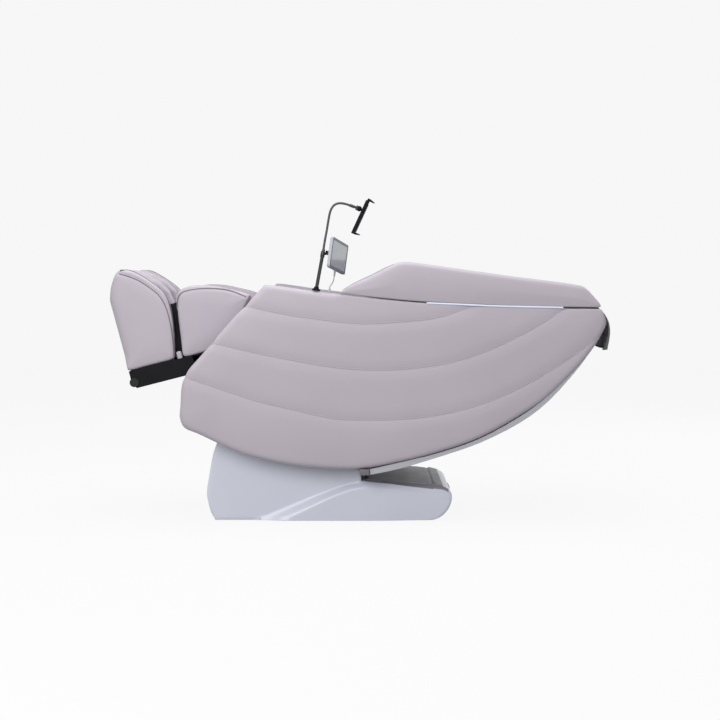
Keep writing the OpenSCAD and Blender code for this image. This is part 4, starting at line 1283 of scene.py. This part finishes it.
# %% Seat, back and pillow
CUSHIONS = [
    {"node": "seat_cushion", "frame": ON_SEAT, "at": (0.260, 0, -0.084), "size": (0.504, 0.448, 0.084),
     "voxel": 0.008, "cap": 0.012, "channels": (-0.35, 0.35), "welt": 0.046},
    {"node": "back_cushion", "frame": ON_BACK, "at": (0.455, 0, -0.084), "size": (0.886, 0.656, 0.084),
     "voxel": 0.010, "cap": 0.012, "channels": (-0.5, 0.0, 0.5), "welt": 0.048},
    {"node": "head_pillow", "frame": ON_BACK, "at": (0.800, 0, 0.001), "size": (0.250, 0.360, 0.062),
     "voxel": 0.006, "cap": 0.010, "channels": (), "welt": 0.026},
]
for values in CUSHIONS:
    place = values["frame"] @ Matrix.Translation(values["at"])
    name, size = values["node"], values["size"]
    soft = cushion(softened(name, values["voxel"], 2), place, size, values["cap"], values["channels"])
    cord = welt(soft, name + "_welt", place, size, values["welt"])
    if values["channels"]:
        rows = stitched_channels(soft, name + "_stitches", place, size, values["channels"])
        hand_over(rows, name + "_stitches", "tub", thread)
    hand_over(soft, name + "_leather", "tub", leather_band, [name])
    hand_over(cord, name + "_welt", "tub", welt_leather)
    print(name, "faces:", len(soft.data.polygons))

# %% Shoulder pads
SHOULDER_SIZE = (0.250, 0.190, 0.052)
SHOULDER_FRAME = (Matrix.Translation((0.492, 0.332, 0.700)) @ Matrix.Rotation(math.pi / 2, 4, "X")
                  @ Matrix.Rotation(BACK_SLOPE, 4, "Z"))
RIGHT_FIRST = ("right", "left")
pads = softened("shoulder_pads", 0.006, 2)
edit_all(pads, (bpy.ops.mesh.bisect, {"plane_co": (0, 0, 0), "plane_no": (0, 1, 0),
                                      "clear_inner": True}))
pad = cushion(pads, SHOULDER_FRAME, SHOULDER_SIZE, cap=0.010)
cord = welt(pad, "shoulder_welt", SHOULDER_FRAME, SHOULDER_SIZE, 0.024)
both_sides(pad, "shoulder_pad_{}", "tub", leather_band, "shoulder_pads",
           sides=RIGHT_FIRST)
both_sides(cord, "shoulder_pad_welt_{}", "tub", welt_leather, sides=RIGHT_FIRST)
print("shoulder pad faces:", len(pad.data.polygons))

# %% Lining of the arm wells
for side in ("left", "right"):
    lining = softened("arm_well_" + side, 0.005, 5)
    hand_over(lining, "arm_well_lining_" + side, "tub", dark_leather,
              ["arm_well_" + side])
    print("arm well", side, "faces:", len(lining.data.polygons))

# %% [markdown]
# ## Between the cushions
# Nobody should see the frame through the gaps. A padded strip closes the crease between seat and
# back. In front of the seat a loose leather apron runs to the calf pads. The leg rest swings, so
# the apron sags at rest; here it is one fixed piece.

# %% A strip along a side-view line
STRIP_STEP = 0.010


def strip(name, line, half, thick, folds=0, fold_depth=0.0):
    """A sheet that follows a side-view line across the chair, with folds along the line."""
    path = even(spline(line, 6), STRIP_STEP)
    columns = int(round(2 * half / STRIP_STEP))
    piece = add_new(bpy.ops.mesh.primitive_grid_add, x_subdivisions=len(path) - 1,
                    y_subdivisions=columns, size=1)
    grid = get_points(piece) + 0.5
    along = grid[:, 0] * (len(path) - 1)
    x, z = (np.interp(along, np.arange(len(path)), path[:, k]) for k in (0, 1))
    across = 2 * grid[:, 1] - 1
    z += fold_depth * np.sin(math.pi * grid[:, 0]) * np.cos(math.pi * folds * across)
    set_points(piece, np.stack([x, half * across, z], 1))
    modify(piece, "SOLIDIFY", thickness=thick, offset=0)
    piece.name = name
    return smooth(face_out(piece), 60)


# %% The crease strip and the apron
CREASE_HALF = 0.220
CREASE_THICK = 0.014
APRON_HALF = 0.214
APRON_THICK = 0.0016
APRON_FOLDS = 7
FOLD_DEPTH = 0.002
crease_seat = local(ON_SEAT, [(0.034, 0, -0.046), (0.006, 0, -0.024)])
crease_back = local(ON_BACK, [(0.008, 0, -0.024), (0.034, 0, -0.046)])
crease_line = np.concatenate([crease_seat, crease_back])[:, [0, 2]]
crease = strip("crease_strip", crease_line, CREASE_HALF, CREASE_THICK)
hand_over(crease, "crease_strip", "tub", leather_band)

apron_seat = local(ON_SEAT, [(0.484, 0, -0.034), (0.510, 0, -0.044)])
apron_leg = local(ON_LEG, [(-0.116, 0, 0.098), (-0.086, 0, 0.092)])
apron_line = np.concatenate([apron_seat, apron_leg])[:, [0, 2]]
apron = strip("seat_apron", apron_line, APRON_HALF, APRON_THICK, APRON_FOLDS, FOLD_DEPTH)
hand_over(apron, "seat_apron", None, leather_band)
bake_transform(apron)

# %% Webbing beside the cushions
WEB_THICK = 0.0012
WEB_LOW = -0.080
WEBS = [("seat_web_{}", ON_SEAT, (0.000, 0.500), (0.215, 0.338), "seat_cushion"),
        ("back_web_{}", ON_BACK, (0.004, 0.890), (0.310, 0.338), "back_cushion")]
for name, matrix, (start, end), (inner, outer), beside_what in WEBS:
    line = local(matrix, [(along, 0, WEB_LOW) for along in (start, (start + end) / 2, end)])[:, [0, 2]]
    web = strip("web", line, (outer - inner) / 2, WEB_THICK)
    set_points(web, get_points(web) - np.array([0, (outer + inner) / 2, 0]))
    for piece in both_sides(web, name, "tub", leather_band):
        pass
print("webs:", len(WEBS) * 2)

# %% [markdown]
# ## Base shells
# Two moulded covers stand on either side of the base. Each is a wall with a rounded shoulder. The
# lower part stands proud of the upper one, and a soft slanted band joins the two, which catches
# the light as it rises from the floor and runs out along the stern. The outline has an inner
# corner, so no plain grid fits it. The wall is one face with the outline's shape, its rim is
# pulled out of its edge, and bisecting it by many planes gives it points to shape.

# %% Outline of a shell
BASE_FRONT = [[-532, 302], [-550, 250], [-564, 174], [-574, 110], [-570, 74], [-560, 34], [-543, 2]]
BASE_REAR = [[278, 2], [308, 15], [334, 43], [348, 78], [350, 97], [341, 113], [322, 124]]
BASE_TOP = [[322, 124], [300, 128], [153, 139], [7, 151]]
BASE_STEP = [[7, 151], [7, 200], [-100, 236], [-150, 262], [-205, 296], [-230, 302], [-532, 302]]
OUTLINE_STEP = 0.009
SHOULDER = 0.013
FOOT_HEIGHT = 0.010
FOOT_RIM_WIDTH = 0.002
SHELL_WALL = 0.004
SHELL_BACK = 0.233
shell_sides = [spline(mm(BASE_FRONT), 6), mm([BASE_FRONT[-1], BASE_REAR[0]]), spline(mm(BASE_REAR), 6),
               spline(mm(BASE_TOP), 4), mm(BASE_STEP)]
base_loop = np.concatenate([even(side, OUTLINE_STEP)[:-1] for side in shell_sides])
print("outline of", len(base_loop), "points")

# %% The wall with its rounded shoulder
CUT_STEP = 0.012
CUTS_X = (-0.56, 0.35)
CUTS_Z = (0.018, 0.30)
rim_width = np.where(base_loop[:, 1] < FOOT_HEIGHT, FOOT_RIM_WIDTH, SHOULDER)
inner = shrink(base_loop, rim_width)
mesh = bpy.data.meshes.new("base_skin")
mesh.from_pydata([(x, -BASE_OUT, z) for x, z in inner], [], [tuple(range(len(inner)))])
base_skin = new_object("base_skin", mesh)
ring = pull_rim(base_skin, base_loop, inner, -BASE_OUT, rim_width, SHOULDER)
pull_open_edge(base_skin, ring, at_depth(base_loop, -SHELL_BACK))
near_out(base_skin)
cuts = [((x, 0, 0), (1, 0, 0)) for x in np.arange(*CUTS_X, CUT_STEP)]
cuts += [((0, 0, z), (0, 0, 1)) for z in np.arange(*CUTS_Z, CUT_STEP)]
for place, normal in cuts:
    edit_all(base_skin, (bpy.ops.mesh.bisect, {"plane_co": place, "plane_no": normal}))
print("wall faces:", len(base_skin.data.polygons))

# %% The slanted band and the narrowing stern
BAND_UP = [[-430, -8], [-371, 19], [-300, 48], [-222, 79], [-152, 106], [-61, 136], [7, 149],
           [114, 137], [243, 124], [308, 114], [352, 94]]
BAND_DOWN = [[-340, -32], [-275, 2], [-230, 24], [-184, 47], [-130, 75], [-80, 98], [-16, 119],
             [49, 125], [178, 112], [300, 96], [352, 80]]
BAND_SEEN = (-0.36, 0.02)
BAND_REACHES = (0.040, 0.022)
BAND_STEP = 0.022
LEAST_BAND = 0.001
BAND_FULL_TO = -0.07
BAND_HALF_FROM = 0.03
STERN_FROM = 0.04
STERN_TO = 0.36
STERN_NARROWS = 0.022
STERN_DROOP = 0.12
band_up, band_down = spline(mm(BAND_UP), 6), spline(mm(BAND_DOWN), 6)
middle = (band_up + band_down) / 2
middle = middle[(middle[:, 0] > BAND_SEEN[0]) & (middle[:, 0] < BAND_SEEN[1])]
refine_near(base_skin, [middle], BAND_REACHES)
x, y, z = get_points(base_skin).T
top, bottom = (np.interp(x, line[:, 0], line[:, 1]) for line in (band_up, band_down))
step = BAND_STEP * ease(z, bottom, np.maximum(top, bottom + LEAST_BAND))
stern = ease(x, STERN_FROM, STERN_TO)
hold = np.clip((-y - SHELL_BACK) / (BASE_OUT - SHELL_BACK), 0, 1)
before_stern = np.clip((BAND_HALF_FROM - x) / (BAND_HALF_FROM - BAND_FULL_TO), 0, 1)
moved = step * (0.5 + 0.5 * before_stern) + STERN_NARROWS * stern
set_points(base_skin, np.stack([x, y + moved * hold, z * (1 - STERN_DROOP * stern * hold)], 1))
modify(base_skin, "SOLIDIFY", thickness=SHELL_WALL, offset=-1)
smooth(base_skin, 42)
print("base shell faces:", len(base_skin.data.polygons))

# %% Both shells, with painted shade on the deck
DECK_LEVEL = 0.7
DECK_FROM = 0.02
DECK_HALF = 0.262
for piece in both_sides(base_skin, "base_shell_{}_moulded", "base", shell_white,
                        "base_shell_{}"):
    piece.data.materials.append(housing_painted_shade)
    # Upward faces of the deck get the painted-shade grey, for the shade the chair casts there.
    for polygon in piece.data.polygons:
        centre = polygon.center
        if polygon.normal.z > DECK_LEVEL and centre.x > DECK_FROM and abs(centre.y) < DECK_HALF:
            polygon.material_index = 1
    print(piece.name, "deck faces:", sum(p.material_index for p in piece.data.polygons))

# %% [markdown]
# ## Small parts
# Small things make the chair look made: the ribbed sleeve of the gooseneck, the rubber pad in
# the phone clamp, and the end blocks of the cover under the back.

# %% Gooseneck sleeve
NECK_ROUTE = [[-131.5, 1010], [-125, 1051], [-118, 1088], [-112, 1124], [-106, 1153], [-96, 1173],
              [-82, 1183], [-66, 1185], [-48, 1182], [-34, 1177]]
STAND_Y = -0.362
NECK_RADIUS = 0.0045
RIB_PITCH = 0.0030
RIB_DEPTH = 0.0007
neck = at_depth(even(spline(mm(NECK_ROUTE), 8), RIB_PITCH / 2), STAND_Y)
ribs = [1 if k % 2 else 1 - RIB_DEPTH / NECK_RADIUS for k in range(len(neck))]
sleeve = smooth(tube(neck, NECK_RADIUS, "gooseneck_sleeve", sides=2, swell=ribs), 60)
hand_over(sleeve, "gooseneck_sleeve", "tub", hose_metal)
print("sleeve ribs:", len(neck) // 2)

# %% Pad in the phone clamp, and the cover's end blocks
BALL = Vector((0.0002, STAND_Y, 1.1653))
ON_CLAMP = Matrix.Translation(BALL) @ Matrix.Rotation(math.radians(24.8), 4, "Y")
PAD_SIZE = (0.0022, 0.0150, 0.1080)
PAD_PLACE = (0.0248, 0, -0.0275)
PAD_ROUNDING = 0.0009
BLOCK_SIZE = (0.037, 0.032, 0.022)
BLOCK_PLACE = (0.0195, -0.368, 0.200)
BLOCK_ROUNDING = 0.003
pad = rounded_box(PAD_PLACE, PAD_SIZE, PAD_ROUNDING)
pad.matrix_world = ON_CLAMP
smooth(face_out(settle(pad)), 50)
hand_over(pad, "clamp_pad", "clamp", clamp_pad_grey)
block = smooth(face_out(rounded_box(BLOCK_PLACE, BLOCK_SIZE, BLOCK_ROUNDING)), 50)
both_sides(block, "cover_end_{}", "tub", block_grey)
print("pad and end blocks made")

# %% [markdown]
# ## Hard parts
# Frames, shafts, motors, covers and fittings are already right in the construction model, so
# each keeps its mesh. It gets the finish of its real part, and live modifiers that weld its loose
# triangles, clear needless edges and break the sharp ones, since no real edge is a knife.

# %% Finish for each hard part
HARD_PARTS = [
    (shell_white, 0.0010, ["base_front_cover"]),
    (shell_white, 0.0, ["base_rear_cover"]),
    (trim_grey, 0.0010, ["back_cover"]),
    # The rear housing gets the painted-shade grey in place of its own lighter plastic colour.
    (housing_painted_shade, 0.0010, ["rear_housing"]),
    (black_plastic, 0.0010, ["calf_cover", "foot_tray", "stand_flange"]),
    (leather_band, 0.0004, ["cable_gland"]),
    (black_plastic, 0.0004, ["power_inlet", "power_switch", "tablet_button"]),
    (black_plastic, 0.0008, ["phone_clamp", "clamp_jaw", "ball_head"]),
    (frame_paint, 0.0012, ["base_frame", "seat_frame", "calf_frame"]),
    (steel, 0.0005, ["tilt_shaft", "leg_shaft", "track_rails", "massage_carriage",
                     "tilt_actuator_rod", "leg_actuator_rod", "foot_rails"]),
    (zinc, 0.0006, ["power_supply"]),
    (pole_black, 0.0005, ["stand_pole"]),
    (hose_metal, 0.0, ["gooseneck"]),
    (motor_black, 0.0012, ["tilt_actuator_body", "leg_actuator_body", "air_pump"]),
    (rubber, 0.0008, ["base_feet", "transport_wheels", "floor_rollers"]),
    (nylon, 0.0010, ["kneading_wheel_left", "kneading_wheel_right", "sole_roller"]),
    (board_green, 0.0, ["control_board"]),
    (tablet_grey, 0.0006, ["tablet_case"]),
    (screen_glass, 0.0, ["tablet_screen"]),
]
SHARP_ANGLE = math.radians(35)


def dress(part, material, edge):
    """A CAD node's material and, where it has sharp edges to break, its live modifiers."""
    part.data.materials.clear()
    part.data.materials.append(material)
    if edge:
        weld = part.modifiers.new("weld", "WELD")
        weld.merge_threshold = SAME_PLACE
        clean = part.modifiers.new("clean", "DECIMATE")
        clean.decimate_type = "DISSOLVE"
        clean.angle_limit = FLAT_ANGLE
        broken = part.modifiers.new("broken_edges", "BEVEL")
        broken.width = edge
        broken.segments = 2
        broken.limit_method = "ANGLE"
        broken.angle_limit = SHARP_ANGLE
        broken.harden_normals = True


for material, edge, names in HARD_PARTS:
    for name in names:
        dress(NODES[name], material, edge)
print(sum(len(names) for _, _, names in HARD_PARTS), "hard parts dressed")

# %% The tablet's front face is darker than its case
TABLET_TURN = (Matrix.Rotation(math.radians(-17.5), 3, "Z") @ Matrix.Rotation(math.radians(5), 3, "Y")
               @ Matrix.Rotation(math.radians(-9), 3, "X"))
FACES_FRONT = 0.9
facing = TABLET_TURN @ Vector((1, 0, 0))
front = NODES["tablet_case"].data
front.materials.append(bezel_grey)
for polygon in front.polygons:
    if polygon.normal.dot(facing) > FACES_FRONT:
        polygon.material_index = 1
print("tablet face:", sum(p.material_index for p in front.polygons), "faces dark")
